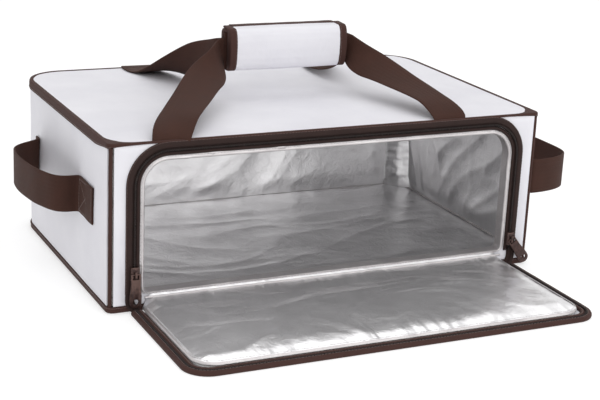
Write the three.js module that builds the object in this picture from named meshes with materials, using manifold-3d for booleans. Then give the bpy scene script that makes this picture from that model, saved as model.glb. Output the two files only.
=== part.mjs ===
// Insulated carrier for flat food boxes: a soft white bag with brown trim, foil lining and a zipped door.
// The door is unzipped and lies open on the ground in front of the bag.
// Millimetres. +X is to the right, +Y to the back, +Z up.
// The origin is the middle of the underside of the body.

import * as THREE from "three";
import { mergeVertices } from "three/addons/utils/BufferGeometryUtils.js";
import Module from "manifold-3d";

const wasm = await Module();
wasm.setup();

// Body
const BAG_WIDTH = 480;
const BAG_DEPTH = 316;
const BAG_HEIGHT = 170;
const BACK_CORNER_RADIUS = 45;
const FRONT_CORNER_RADIUS = 6;
const FRONT_PAD_RADIUS = 12;

// Layers of a wall, and the air between two pieces that touch
const GAP = 0.3;
const FABRIC = 1.4;
const FOAM = 9;
const FOIL = 1;
const BASE_BOARD = 3;
const FRONT_FOAM = 6;
const INNER_CORNER = 24;

// Bound edges
const EDGE_BINDING_HEIGHT = 9;
const BASE_BINDING_HEIGHT = 6.5;
const BINDING_PROUD = 1.2;
const BINDING_RISE = 0.4;
const PIPING_RADIUS = 2.5;

// Mouth of the bag: white border, zip tape, then foil binding
const BORDER_WIDTH = 17;
const TOP_BORDER = 0.4;
const BODY_TAPE_WIDTH = 10;
const MOUTH_BINDING_WIDTH = 8.5;
const MOUTH_BINDING_THICKNESS = 1.2;
const MOUTH_RADIUS = 24;
const TAPE_THICKNESS = 1;
const TAPE_START = 18;

// Zip
const COIL_RADIUS = 1.2;
const COIL_INSET = 1.5;
const SLIDER_WIDTH = 8.6;
const SLIDER_LENGTH = 14;
const SLIDER_PLATE = 1.6;
const SLIDER_CHANNEL_PLAY = 0.4;
const LEFT_SLIDER_HEIGHT = 40;
const RIGHT_SLIDER_HEIGHT = 32;
const BAIL_WIDTH = 2.4;
const BAIL_HEIGHT = 7;
const BAIL_BAR = 1.2;
const BAIL_OPENING = 2;
const PULL_LENGTH = 34;
const PULL_NECK = 11;
const PULL_TOP_WIDTH = 9.6;
const PULL_END_WIDTH = 12;
const PULL_THICKNESS = 1.6;
const PULL_WINDOW_WIDTH = 6.8;
const PULL_WINDOW_LENGTH = 4.9;
const PULL_HOLE_RADIUS = 3;
const RIGHT_PULL_LEAN = THREE.MathUtils.degToRad(38);

// Door
const DOOR_LENGTH = 170;
const DOOR_MARGIN = 5.5;
const DOOR_RADIUS = 26;
const DOOR_HINGE_OUT = 9.5;
const DOOR_FOAM = 7;
const DOOR_EDGE_WIDTH = 2.6;
const DOOR_EDGE_HEIGHT = 3.2;
const DOOR_TAPE_WIDTH = 9;
const DOOR_PAD_MARGIN = 3;
const HINGE_INSET = 4.2;

// Carrying handle
const WEBBING_WIDTH = 38;
const WEBBING = 1.8;
const WEBBING_SPACE = 1.4;
const GRIP_LENGTH = 136;
const GRIP_HEIGHT = 224;
const GRIP_SETBACK = 20;
const GRIP_HALF_DEPTH = 12;
const GRIP_CAVITY_HALF_DEPTH = 4;
const GRIP_WEB_PLAY = 0.3;
const GRIP_SKIN = 1.6;
const GRIP_TOP_SKIN = 2;
const GRIP_CORNER = 9;
const GRIP_LIP_REACH = 8;
const FASTENER_STRIP = 0.6;
const FASTENER_SPACE = 0.2;
const FASTENER_HALF_WIDTH = 6;
const FASTENER_MARGIN = 12;
const GRIP_BINDING_WIDTH = 8;
const GRIP_BINDING_PROUD = 0.6;
const GRIP_EDGE_WIDTH = 4;
const STRAP_CLEARANCE = 2.3;
const LEFT_FRONT_SETBACK = 62;
const RIGHT_FRONT_SETBACK = 110;
const REAR_SETBACK = 135;
const ROOT_INSET = 4;
const STRAP_EXIT = 7;
const FRONT_STRAP_LANDING = 7;
const REAR_STRAP_LANDING = 24;

// Side handles
const HANDLE_HEIGHT = 97;
const HANDLE_SPAN = 144;
const HANDLE_REACH = 60;
const HANDLE_PATCH = 46;
const HANDLE_SHORT_PATCH = 14;
const HANDLE_END_REACH = 20;
const LEFT_HANDLE_FRONT = -70;
const RIGHT_HANDLE_FRONT = -152;
const HANDLE_TURN = 3;

// Smoothness of curves, as counts
const ARC_STEPS = 7;
const COIL_STEPS = 56;
const COIL_SIDES = 6;
const RIBBON_STEPS = 18;
const HANDLE_TURN_STEPS = 3;

// Places that follow from the sizes above
const halfWidth = BAG_WIDTH / 2;
const frontY = -BAG_DEPTH / 2;
const backY = BAG_DEPTH / 2;
const skin = FABRIC + GAP;
const boardZ = skin;
const floorFoamZ = boardZ + BASE_BOARD + GAP;
const floorFoilZ = floorFoamZ + FOAM + GAP;
const floorTop = floorFoilZ + FOIL;
const ceilingFoamZ = BAG_HEIGHT - skin - FOAM;
const ceilingFoilZ = ceilingFoamZ - GAP - FOIL;
const foamHalf = halfWidth - skin;
const foilHalf = foamHalf - FOAM - GAP;
const innerHalf = foilHalf - FOIL;
const foilBackY = backY - skin - FOAM - GAP;
const innerBackY = foilBackY - FOIL;
const foamFrontY = frontY + skin;
const lipFrontY = foamFrontY + FRONT_FOAM + GAP;
const foilFrontY = lipFrontY + FOIL + GAP;
const wallFoilLow = floorTop + GAP;
const wallFoilHigh = ceilingFoilZ - GAP;
const mouthHalf = halfWidth - BORDER_WIDTH - BODY_TAPE_WIDTH - GAP - MOUTH_BINDING_WIDTH;
const mouthTop = BAG_HEIGHT - TOP_BORDER - BODY_TAPE_WIDTH - GAP - MOUTH_BINDING_WIDTH;
const tapeOut = MOUTH_BINDING_WIDTH + GAP + BODY_TAPE_WIDTH;
const tapeFrontY = frontY - GAP - TAPE_THICKNESS;
const coilY = tapeFrontY - GAP - COIL_RADIUS;
const coilOut = MOUTH_BINDING_WIDTH + GAP + COIL_INSET;
const coilHalf = mouthHalf + coilOut;
const baseEdgeZ = BASE_BINDING_HEIGHT + GAP;
const topEdgeZ = BAG_HEIGHT - EDGE_BINDING_HEIGHT;
const frameTop = BAG_HEIGHT - skin;
const pipingBackY = frontY + 2 * PIPING_RADIUS;

// Finishes
function finish(color, roughness, metalness = 0) {
  return new THREE.MeshStandardMaterial({ color, roughness, metalness });
}
const whiteFabric = finish(0xe2e1e6, 0.7);
const brownTape = finish(0x503a34, 0.8);
const zipTape = finish(0x352a28, 0.8);
const zipMetal = finish(0x6b5757, 0.35, 0.9);
const foilCloth = finish(0xb9bac0, 0.3, 0.8);
const foamSheet = finish(0xf0f0ee, 0.9);
const stiffBoard = finish(0x3a3a3c, 0.6);
const fastenerTape = finish(0x2e2523, 0.95);

const bag = new THREE.Group();

function add(name, geometry, material, group = bag) {
  const mesh = new THREE.Mesh(geometry, material);
  mesh.name = name;
  group.add(mesh);
  return mesh;
}

// Closed solids and how they are joined or cut
function toSolid(geometry) {
  const bare = geometry.clone();
  bare.deleteAttribute("normal");
  bare.deleteAttribute("uv");
  const merged = mergeVertices(bare);
  const vertProperties = merged.attributes.position.array;
  const triVerts = new Uint32Array(merged.index.array);
  return new wasm.Manifold(new wasm.Mesh({ numProp: 3, vertProperties, triVerts }));
}

function toGeometry(solid) {
  const mesh = solid.getMesh();
  const geometry = new THREE.BufferGeometry();
  geometry.setAttribute("position", new THREE.BufferAttribute(new Float32Array(mesh.vertProperties), 3));
  geometry.setIndex([...mesh.triVerts]);
  geometry.computeVertexNormals();
  return geometry;
}

function join(first, ...others) {
  return toGeometry(others.map(toSolid).reduce((sum, solid) => sum.add(solid), toSolid(first)));
}

function cut(first, ...others) {
  return toGeometry(others.map(toSolid).reduce((rest, solid) => rest.subtract(solid), toSolid(first)));
}

function block(x0, x1, y0, y1, z0, z1) {
  const box = new THREE.BoxGeometry(x1 - x0, y1 - y0, z1 - z0);
  return box.translate((x0 + x1) / 2, (y0 + y1) / 2, (z0 + z1) / 2);
}

// A flat shape given a thickness along Z, Y or X
function prism(shape, depth) {
  return new THREE.ExtrudeGeometry(shape, { depth, bevelEnabled: false, curveSegments: ARC_STEPS });
}
const raise = (shape, z, thickness) => prism(shape, thickness).translate(0, 0, z);

function pushBack(shape, y, thickness) {
  return prism(shape, thickness)
    .rotateX(Math.PI / 2)
    .translate(0, y + thickness, 0);
}

function stretchAcross(shape, x, length) {
  const turn = new THREE.Matrix4().makeBasis(
    new THREE.Vector3(0, 1, 0),
    new THREE.Vector3(0, 0, 1),
    new THREE.Vector3(1, 0, 0),
  );
  return prism(shape, length).applyMatrix4(turn).translate(x, 0, 0);
}

// Rectangle whose two low corners share one radius and whose two high corners share another
function roundedRectangle(left, right, low, high, lowRadius, highRadius, outline = new THREE.Shape()) {
  outline.moveTo(left + lowRadius, low);
  outline.lineTo(right - lowRadius, low);
  outline.absarc(right - lowRadius, low + lowRadius, lowRadius, -Math.PI / 2, 0);
  outline.lineTo(right, high - highRadius);
  outline.absarc(right - highRadius, high - highRadius, highRadius, 0, Math.PI / 2);
  outline.lineTo(left + highRadius, high);
  outline.absarc(left + highRadius, high - highRadius, highRadius, Math.PI / 2, Math.PI);
  outline.lineTo(left, low + lowRadius);
  outline.absarc(left + lowRadius, low + lowRadius, lowRadius, Math.PI, 1.5 * Math.PI);
  return outline;
}

// Band of one width along an arch: up one side, round two corners and down the other side
function archBand(half, low, high, radius, width) {
  const shape = new THREE.Shape();
  shape.moveTo(-half, low);
  shape.lineTo(-half + width, low);
  shape.lineTo(-half + width, high - radius);
  shape.absarc(-half + radius, high - radius, radius - width, Math.PI, Math.PI / 2, true);
  shape.lineTo(half - radius, high - width);
  shape.absarc(half - radius, high - radius, radius - width, Math.PI / 2, 0, true);
  shape.lineTo(half - width, low);
  shape.lineTo(half, low);
  shape.lineTo(half, high - radius);
  shape.absarc(half - radius, high - radius, radius, 0, Math.PI / 2);
  shape.lineTo(-half + radius, high);
  shape.absarc(-half + radius, high - radius, radius, Math.PI / 2, Math.PI);
  return shape;
}

// Whole area inside an arch
function archPanel(half, low, high, radius) {
  const shape = new THREE.Shape();
  shape.moveTo(-half, low);
  shape.lineTo(half, low);
  shape.lineTo(half, high - radius);
  shape.absarc(half - radius, high - radius, radius, 0, Math.PI / 2);
  shape.lineTo(-half + radius, high);
  shape.absarc(-half + radius, high - radius, radius, Math.PI / 2, Math.PI);
  return shape;
}

// Round cord that follows an arch, placed by a function from flat to solid points
function archCord(half, low, high, radius, place) {
  const path = new THREE.Path();
  path.moveTo(-half, low);
  path.lineTo(-half, high - radius);
  path.absarc(-half + radius, high - radius, radius, Math.PI, Math.PI / 2, true);
  path.lineTo(half - radius, high);
  path.absarc(half - radius, high - radius, radius, Math.PI / 2, 0, true);
  path.lineTo(half, low);
  const points = path.getSpacedPoints(COIL_STEPS).map((p) => place(p.x, p.y));
  return cord(new THREE.CatmullRomCurve3(points, false, "centripetal"), COIL_RADIUS, COIL_STEPS);
}

function cord(curve, radius, steps) {
  const round = new THREE.Shape().absarc(0, 0, radius, 0, 2 * Math.PI);
  return new THREE.ExtrudeGeometry(round, {
    steps,
    extrudePath: curve,
    bevelEnabled: false,
    curveSegments: COIL_SIDES,
  });
}

// Flat ribbon through stations, each with its middle point, the way it runs and the direction of its width
function ribbon(stations, width, thickness) {
  const positions = [];
  const index = [];
  stations.forEach((station, i) => {
    const before = stations[Math.max(i - 1, 0)].at;
    const after = stations[Math.min(i + 1, stations.length - 1)].at;
    const along = station.along ?? after.clone().sub(before).normalize();
    const across = station.across.clone().addScaledVector(along, -station.across.dot(along)).normalize();
    const up = across.clone().cross(along).normalize();
    for (const [a, u] of [[-1, -1], [1, -1], [1, 1], [-1, 1]]) {
      const corner = station.at.clone();
      corner.addScaledVector(across, (a * width) / 2).addScaledVector(up, (u * thickness) / 2);
      positions.push(corner.x, corner.y, corner.z);
    }
  });
  // Both broad faces are split along the same diagonal, so that a twist leaves the ribbon its thickness
  for (let i = 0; i + 1 < stations.length; i++) {
    for (let side = 0; side < 4; side++) {
      const [a, b] = [4 * i + side, 4 * i + ((side + 1) % 4)];
      if (side < 2) index.push(a, a + 4, b, b, a + 4, b + 4);
      else index.push(a, a + 4, b + 4, a, b + 4, b);
    }
  }
  const last = 4 * (stations.length - 1);
  index.push(0, 1, 2, 0, 2, 3);
  index.push(last, last + 2, last + 1, last, last + 3, last + 2);
  const geometry = new THREE.BufferGeometry();
  geometry.setAttribute("position", new THREE.Float32BufferAttribute(positions, 3));
  geometry.setIndex(index);
  geometry.computeVertexNormals();
  return geometry;
}

// Outline of the pieces inside the skin seen from above; the front corners leave room for the piping
function padOutline() {
  const backRadius = BACK_CORNER_RADIUS - skin;
  return roundedRectangle(-foamHalf, foamHalf, foamFrontY, backY - skin, FRONT_PAD_RADIUS, backRadius);
}

// Outer fabric, base board and foam
function buildShell() {
  add("bottom_panel", raise(padOutline(), 0, FABRIC), whiteFabric);
  add("base_board", raise(padOutline(), boardZ, BASE_BOARD), stiffBoard);
  add("bottom_foam", raise(padOutline(), floorFoamZ, FOAM), foamSheet);
  add("top_panel", raise(padOutline(), BAG_HEIGHT - FABRIC, FABRIC), whiteFabric);
  add("top_foam", raise(padOutline(), ceilingFoamZ, FOAM), foamSheet);

  const wallLow = baseEdgeZ;
  const wallHeight = topEdgeZ - GAP - wallLow;
  const wall = archBand(halfWidth, pipingBackY + GAP, backY, BACK_CORNER_RADIUS, FABRIC);
  add("wall_panel", raise(wall, wallLow, wallHeight), whiteFabric);

  const foamLow = floorFoilZ;
  const foamHigh = ceilingFoamZ - GAP;
  const foamBack = backY - BACK_CORNER_RADIUS;
  const sideFoam = (x) => block(x, x + FOAM, pipingBackY + GAP, foamBack, foamLow, foamHigh);
  add("left_foam", sideFoam(-foamHalf), foamSheet);
  add("right_foam", sideFoam(foamHalf - FOAM), foamSheet);
  const cornerX = halfWidth - BACK_CORNER_RADIUS;
  add("back_foam", block(-cornerX, cornerX, backY - skin - FOAM, backY - skin, foamLow, foamHigh), foamSheet);
}

// Foil lining: floor, ceiling, three walls, two corner strips and the lip behind the mouth
function buildLining() {
  const reach = innerHalf + FOIL;
  const sheet = roundedRectangle(-reach, reach, foilFrontY, innerBackY + FOIL, GAP, INNER_CORNER);
  add("liner_floor", raise(sheet, floorFoilZ, FOIL), foilCloth);
  add("liner_ceiling", raise(sheet, ceilingFoilZ, FOIL), foilCloth);

  const sideBack = innerBackY - INNER_CORNER - GAP;
  const backEnd = innerHalf - INNER_CORNER - GAP;
  const wall = (x0, x1, y0, y1) => block(x0, x1, y0, y1, wallFoilLow, wallFoilHigh);
  add("liner_left", wall(-innerHalf - FOIL, -innerHalf, foilFrontY, sideBack), foilCloth);
  add("liner_right", wall(innerHalf, innerHalf + FOIL, foilFrontY, sideBack), foilCloth);
  add("liner_back", wall(-backEnd, backEnd, innerBackY, innerBackY + FOIL), foilCloth);

  for (const [side, name] of [[-1, "left"], [1, "right"]]) {
    const strip = new THREE.Shape();
    strip.moveTo(side * (innerHalf - INNER_CORNER), innerBackY);
    strip.lineTo(side * innerHalf, innerBackY - INNER_CORNER);
    strip.lineTo(side * innerHalf, innerBackY - INNER_CORNER + Math.SQRT2 * FOIL);
    strip.lineTo(side * (innerHalf - INNER_CORNER + Math.SQRT2 * FOIL), innerBackY);
    add(`liner_corner_${name}`, raise(strip, wallFoilLow, wallFoilHigh - wallFoilLow), foilCloth);
  }

  const lip = roundedRectangle(-innerHalf, innerHalf, wallFoilLow, wallFoilHigh, GAP, GAP);
  lip.holes.push(mouthHole(MOUTH_BINDING_THICKNESS + GAP));
  add("liner_lip", pushBack(lip, lipFrontY, FOIL), foilCloth);
}

// Hole for the mouth, larger than the clear opening by a margin at its sides and top
function mouthHole(margin) {
  const half = mouthHalf + margin;
  const [low, high] = [wallFoilLow + GAP, mouthTop + margin];
  return roundedRectangle(-half, half, low, high, GAP, MOUTH_RADIUS + margin, new THREE.Path());
}

// Front of the body: white border, its foam, and the foil binding round the mouth
function buildMouth() {
  const borderHalf = halfWidth - 2 * PIPING_RADIUS - GAP;
  const border = roundedRectangle(-borderHalf, borderHalf, baseEdgeZ, frameTop, GAP, GAP);
  border.holes.push(mouthHole(MOUTH_BINDING_THICKNESS + GAP));
  add("front_border", pushBack(border, frontY, FABRIC), whiteFabric);

  const foamEdge = foamHalf - FOAM - GAP;
  const foam = roundedRectangle(-foamEdge, foamEdge, floorFoilZ, ceilingFoamZ - GAP, GAP, GAP);
  foam.holes.push(mouthHole(MOUTH_BINDING_THICKNESS + GAP));
  add("front_foam", pushBack(foam, foamFrontY, FRONT_FOAM), foamSheet);

  const thick = MOUTH_BINDING_THICKNESS;
  const low = wallFoilLow + 2 * GAP;
  const tube = archBand(mouthHalf + thick, low, mouthTop + thick, MOUTH_RADIUS + thick, thick);
  const wide = MOUTH_BINDING_WIDTH;
  const flange = archBand(mouthHalf + wide, TAPE_START, mouthTop + wide, MOUTH_RADIUS + wide, wide);
  const faceY = frontY - thick;
  const binding = join(
    pushBack(tube, faceY, lipFrontY + FOIL + GAP - faceY),
    pushBack(flange, faceY, thick - GAP),
  );
  add("mouth_binding", binding, foilCloth);
}

// Brown binding on the top and bottom edges, and the piping down the two front corners
function buildEdges() {
  const ring = () => {
    const outer = roundedRectangle(
      -halfWidth - BINDING_PROUD,
      halfWidth + BINDING_PROUD,
      frontY,
      backY + BINDING_PROUD,
      FRONT_CORNER_RADIUS,
      BACK_CORNER_RADIUS + BINDING_PROUD,
    );
    outer.holes.push(
      roundedRectangle(
        -halfWidth + FABRIC,
        halfWidth - FABRIC,
        frontY + FABRIC,
        backY - FABRIC,
        FRONT_CORNER_RADIUS - FABRIC,
        BACK_CORNER_RADIUS - FABRIC,
        new THREE.Path(),
      ),
    );
    return outer;
  };
  const topRing = raise(ring(), topEdgeZ, EDGE_BINDING_HEIGHT + BINDING_RISE);
  const notchHalf = halfWidth - 2 * PIPING_RADIUS;
  const [notchY0, notchY1] = [frontY - FABRIC, frontY + 2 * FABRIC];
  const notch = block(-notchHalf, notchHalf, notchY0, notchY1, topEdgeZ - GAP, frameTop + GAP);
  add("top_binding", cut(topRing, notch), brownTape);
  add("bottom_binding", raise(ring(), GAP, BASE_BINDING_HEIGHT - GAP), brownTape);

  for (const [side, name] of [[-1, "left"], [1, "right"]]) {
    const x = side * (halfWidth - PIPING_RADIUS);
    const y = frontY + PIPING_RADIUS;
    const line = new THREE.LineCurve3(
      new THREE.Vector3(x, y, baseEdgeZ),
      new THREE.Vector3(x, y, topEdgeZ - GAP),
    );
    add(`front_piping_${name}`, cord(line, PIPING_RADIUS, 1), brownTape);
  }
}

// Half of the zip that is sewn to the body
function buildBodyZip() {
  const tape = archBand(
    mouthHalf + tapeOut,
    TAPE_START,
    mouthTop + tapeOut,
    MOUTH_RADIUS + tapeOut,
    BODY_TAPE_WIDTH,
  );
  add("body_zip_tape", pushBack(tape, tapeFrontY, TAPE_THICKNESS), zipTape);
  const onFront = (x, z) => new THREE.Vector3(x, coilY, z);
  const coil = archCord(coilHalf, TAPE_START, mouthTop + coilOut, MOUTH_RADIUS + coilOut, onFront);
  add("body_zip_coil", coil, zipTape);
}

// Slider: a channel that straddles the coil, with a bail on its face for the pull
const sliderBackY = tapeFrontY - GAP;
const sliderFaceY = coilY - COIL_RADIUS - SLIDER_CHANNEL_PLAY - SLIDER_PLATE;
const pullY = sliderFaceY - BAIL_OPENING / 2;

function sliderGeometry(x, z) {
  const half = SLIDER_WIDTH / 2;
  const channel = COIL_RADIUS + SLIDER_CHANNEL_PLAY;
  const [low, high] = [z - SLIDER_LENGTH / 2, z + SLIDER_LENGTH / 2];
  const body = block(x - half, x + half, sliderFaceY, sliderBackY, low, high);
  const groove = block(x - channel, x + channel, sliderFaceY + SLIDER_PLATE, frontY, low - GAP, high + GAP);
  const bailFaceY = sliderFaceY - BAIL_OPENING - BAIL_BAR;
  const [bailLow, bailHigh] = [z - BAIL_HEIGHT / 2, z + BAIL_HEIGHT / 2];
  const [left, right] = [x - BAIL_WIDTH / 2, x + BAIL_WIDTH / 2];
  const bail = block(left, right, bailFaceY, sliderFaceY + GAP, bailLow, bailHigh);
  const eyeLow = bailLow + BAIL_BAR;
  const eyeHigh = bailHigh - BAIL_BAR;
  const eye = block(left - GAP, right + GAP, bailFaceY + BAIL_BAR, sliderFaceY, eyeLow, eyeHigh);
  return cut(join(body, bail), groove, eye);
}

// Pull: a flat tab with a round bar under the bail, a window round the bail and a ring at its end
function pullGeometry() {
  const top = PULL_TOP_WIDTH / 2;
  const end = PULL_END_WIDTH / 2;
  const tab = new THREE.Shape();
  tab.moveTo(-top, 0);
  tab.lineTo(-top, -PULL_NECK);
  tab.lineTo(-end, -PULL_LENGTH + 2 * end);
  tab.lineTo(-end, -PULL_LENGTH + end);
  tab.absarc(0, -PULL_LENGTH + end, end, Math.PI, 2 * Math.PI);
  tab.lineTo(end, -PULL_LENGTH + 2 * end);
  tab.lineTo(top, -PULL_NECK);
  tab.lineTo(top, 0);
  tab.holes.push(new THREE.Path().absarc(0, -PULL_LENGTH + end, PULL_HOLE_RADIUS, 0, 2 * Math.PI));
  const plate = pushBack(tab, -PULL_THICKNESS / 2, PULL_THICKNESS);
  const window = PULL_WINDOW_WIDTH / 2;
  const opening = block(-window, window, -PULL_THICKNESS, PULL_THICKNESS, -PULL_WINDOW_LENGTH, GAP);
  const barRadius = PULL_THICKNESS / 2;
  const bar = new THREE.CylinderGeometry(barRadius, barRadius, PULL_TOP_WIDTH, 2 * ARC_STEPS);
  return join(cut(plate, opening), bar.rotateZ(Math.PI / 2));
}

function buildSliders() {
  const sides = [
    { name: "left", x: -coilHalf, z: LEFT_SLIDER_HEIGHT, lean: 0 },
    { name: "right", x: coilHalf, z: RIGHT_SLIDER_HEIGHT, lean: -RIGHT_PULL_LEAN },
  ];
  for (const { name, x, z, lean } of sides) {
    add(`${name}_slider`, sliderGeometry(x, z), zipMetal);
    const pull = add(`${name}_pull`, pullGeometry(), zipMetal);
    pull.position.set(x, pullY, z);
    pull.rotation.y = lean;
  }
}

// Door, drawn as an arch towards +Y and then turned to lie in front of the body
const doorNear = -frontY + DOOR_HINGE_OUT + GAP;
const doorFar = -frontY + DOOR_LENGTH;
const doorHalf = coilHalf + DOOR_MARGIN;
const panelInset = DOOR_EDGE_WIDTH + GAP;
const doorTapeZ = skin;
const onDoor = (shape, z, thickness) => raise(shape, z, thickness).rotateZ(Math.PI);

function buildDoor() {
  const edge = archBand(doorHalf, doorNear, doorFar, DOOR_RADIUS, DOOR_EDGE_WIDTH);
  add("door_edge_binding", onDoor(edge, 0, DOOR_EDGE_HEIGHT), brownTape);

  const panelHalf = doorHalf - panelInset;
  const panelFar = doorFar - panelInset;
  const panelRadius = DOOR_RADIUS - panelInset;
  const panel = archPanel(panelHalf, doorNear, panelFar, panelRadius);
  add("door_outer_panel", onDoor(panel, 0, FABRIC), whiteFabric);

  const tape = archBand(panelHalf, doorNear, panelFar, panelRadius, DOOR_TAPE_WIDTH);
  add("door_zip_tape", onDoor(tape, doorTapeZ, TAPE_THICKNESS), zipTape);

  const coilZ = doorTapeZ + TAPE_THICKNESS + GAP + COIL_RADIUS;
  const lying = (x, y) => new THREE.Vector3(-x, -y, coilZ);
  const coil = archCord(coilHalf, doorNear, doorFar - DOOR_MARGIN, DOOR_RADIUS - DOOR_MARGIN, lying);
  add("door_zip_coil", coil, zipTape);

  const padInset = panelInset + DOOR_TAPE_WIDTH + GAP;
  const padNear = doorNear + DOOR_PAD_MARGIN;
  const lining = archPanel(doorHalf - padInset, padNear, doorFar - padInset, DOOR_RADIUS - panelInset);
  const foamInset = padInset + FOIL + GAP;
  const foamNear = padNear + FOIL + GAP;
  const foamFar = doorFar - foamInset;
  const foamRadius = DOOR_RADIUS - panelInset - FOIL;
  const foam = archPanel(doorHalf - foamInset, foamNear, foamFar, foamRadius);
  add("door_foam", onDoor(foam, doorTapeZ, DOOR_FOAM), foamSheet);
  const hollowHalf = doorHalf - foamInset + GAP;
  const hollow = archPanel(hollowHalf, foamNear - GAP, foamFar + GAP, foamRadius);
  const shell = cut(
    onDoor(lining, doorTapeZ, DOOR_FOAM + GAP + FOIL),
    onDoor(hollow, doorTapeZ - GAP, DOOR_FOAM + 2 * GAP),
  );
  add("door_liner", shell, foilCloth);
}

// Cloth between door and body: outer fabric on the ground, foil over the sill, and the zip's two turns
function buildDoorHinge() {
  const hingeHalf = mouthHalf - HINGE_INSET;
  const seamY = frontY - GAP;
  const endY = frontY - DOOR_HINGE_OUT + GAP;
  add("hinge_fabric", block(-hingeHalf, hingeHalf, endY, seamY, GAP, GAP + FABRIC), whiteFabric);

  const doorTop = doorTapeZ + DOOR_FOAM + GAP;
  const slope = new THREE.Shape();
  slope.moveTo(seamY, floorTop);
  slope.lineTo(seamY, floorFoilZ);
  slope.lineTo(endY, doorTop - FOIL);
  slope.lineTo(endY, doorTop);
  add("hinge_foil", stretchAcross(slope, -hingeHalf, 2 * hingeHalf), foilCloth);

  for (const [side, name] of [[-1, "left"], [1, "right"]]) {
    const bodyX = side * (mouthHalf + tapeOut - BODY_TAPE_WIDTH / 2);
    const doorX = side * (doorHalf - panelInset - DOOR_TAPE_WIDTH / 2);
    const faceY = tapeFrontY + TAPE_THICKNESS / 2;
    const lowZ = doorTapeZ + TAPE_THICKNESS / 2;
    const turn = new THREE.CubicBezierCurve3(
      new THREE.Vector3(bodyX, faceY, TAPE_START - GAP),
      new THREE.Vector3(bodyX, faceY, lowZ),
      new THREE.Vector3(doorX, faceY, lowZ),
      new THREE.Vector3(doorX, endY, lowZ),
    );
    const across = new THREE.Vector3(1, 0, 0);
    const stations = turn.getSpacedPoints(RIBBON_STEPS).map((at) => ({ at, across }));
    add(`${name}_zip_turn`, ribbon(stations, DOOR_TAPE_WIDTH, TAPE_THICKNESS), zipTape);
  }
}

// Grip that wraps the two carrying straps: a rear half, and a front half that opens forward
const gripY = -GRIP_SETBACK;
const gripHalf = GRIP_LENGTH / 2;
const webHalf = WEBBING_WIDTH / 2;
const coreTop = webHalf + GRIP_WEB_PLAY + GRIP_SKIN;
const lipUnder = coreTop + 2 * FASTENER_STRIP + 3 * FASTENER_SPACE;
const lipTop = lipUnder + GRIP_TOP_SKIN;
const inGrip = (geometry) => geometry.translate(0, gripY, GRIP_HEIGHT);

function frontWrapShape(proud) {
  const near = -GRIP_CAVITY_HALF_DEPTH - GAP;
  const face = -GRIP_HALF_DEPTH - proud;
  const top = lipTop + proud;
  const shape = new THREE.Shape();
  shape.moveTo(near, -coreTop);
  const lowCorner = GRIP_CORNER / 2;
  shape.lineTo(face + lowCorner, -coreTop);
  shape.absarc(face + lowCorner, -coreTop + lowCorner, lowCorner, 1.5 * Math.PI, Math.PI, true);
  shape.lineTo(face, top - GRIP_CORNER);
  shape.absarc(face + GRIP_CORNER, top - GRIP_CORNER, GRIP_CORNER, Math.PI, Math.PI / 2, true);
  shape.lineTo(GRIP_LIP_REACH, top);
  shape.lineTo(GRIP_LIP_REACH, lipUnder);
  shape.lineTo(near, lipUnder);
  return shape;
}

function buildGrip() {
  const core = roundedRectangle(
    -GRIP_CAVITY_HALF_DEPTH,
    GRIP_HALF_DEPTH,
    -coreTop,
    coreTop,
    GAP,
    GAP,
  );
  const cavityHalf = GRIP_CAVITY_HALF_DEPTH;
  const cavityTop = webHalf + GRIP_WEB_PLAY;
  const reach = GRIP_LENGTH;
  const rear = cut(
    stretchAcross(core, -gripHalf, GRIP_LENGTH),
    block(-reach, reach, -reach, cavityHalf, -cavityTop, cavityTop),
  );
  add("grip_rear_wrap", inGrip(rear), whiteFabric);

  const wrapHalf = gripHalf - GRIP_BINDING_WIDTH - GAP;
  add("grip_front_wrap", inGrip(stretchAcross(frontWrapShape(0), -wrapHalf, 2 * wrapHalf)), whiteFabric);
  const ends = frontWrapShape(GRIP_BINDING_PROUD);
  const endPlaces = [["left", -gripHalf], ["right", gripHalf - GRIP_BINDING_WIDTH]];
  for (const [name, x] of endPlaces) {
    add(`grip_${name}_binding`, inGrip(stretchAcross(ends, x, GRIP_BINDING_WIDTH)), brownTape);
  }
  const edgeY = GRIP_LIP_REACH + GAP;
  const edgeTop = lipTop + GRIP_BINDING_PROUD;
  const edge = block(-wrapHalf, wrapHalf, edgeY, edgeY + GRIP_EDGE_WIDTH, lipUnder, edgeTop);
  add("grip_edge_binding", inGrip(edge), brownTape);

  const stripHalf = gripHalf - FASTENER_MARGIN;
  const strip = (z) =>
    block(-stripHalf, stripHalf, -FASTENER_HALF_WIDTH / 2, FASTENER_HALF_WIDTH, z, z + FASTENER_STRIP);
  const loopZ = coreTop + FASTENER_SPACE;
  add("grip_loop_strip", inGrip(strip(loopZ)), fastenerTape);
  add("grip_hook_strip", inGrip(strip(loopZ + FASTENER_STRIP + FASTENER_SPACE)), fastenerTape);
}

// Carrying straps: two bands side by side in the grip, each with two legs that twist down to a sewn root
// Each row holds the shares of the way from the grip to the root along X, Y and Z
const frontLeftShares = [
  [0.22, 0.13, 0.2],
  [0.48, 0.44, 0.55],
  [0.8, 0.8, 0.84],
];
const frontRightShares = [
  [0.3, 0.22, 0.17],
  [0.64, 0.62, 0.47],
  [0.9, 0.87, 0.74],
];
const rearShares = [
  [0.2, 0.1, 0.06],
  [0.52, 0.36, 0.36],
  [0.85, 0.66, 0.76],
];
const twistStartShare = 0.08;
const twistEndShare = 0.84;

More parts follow.
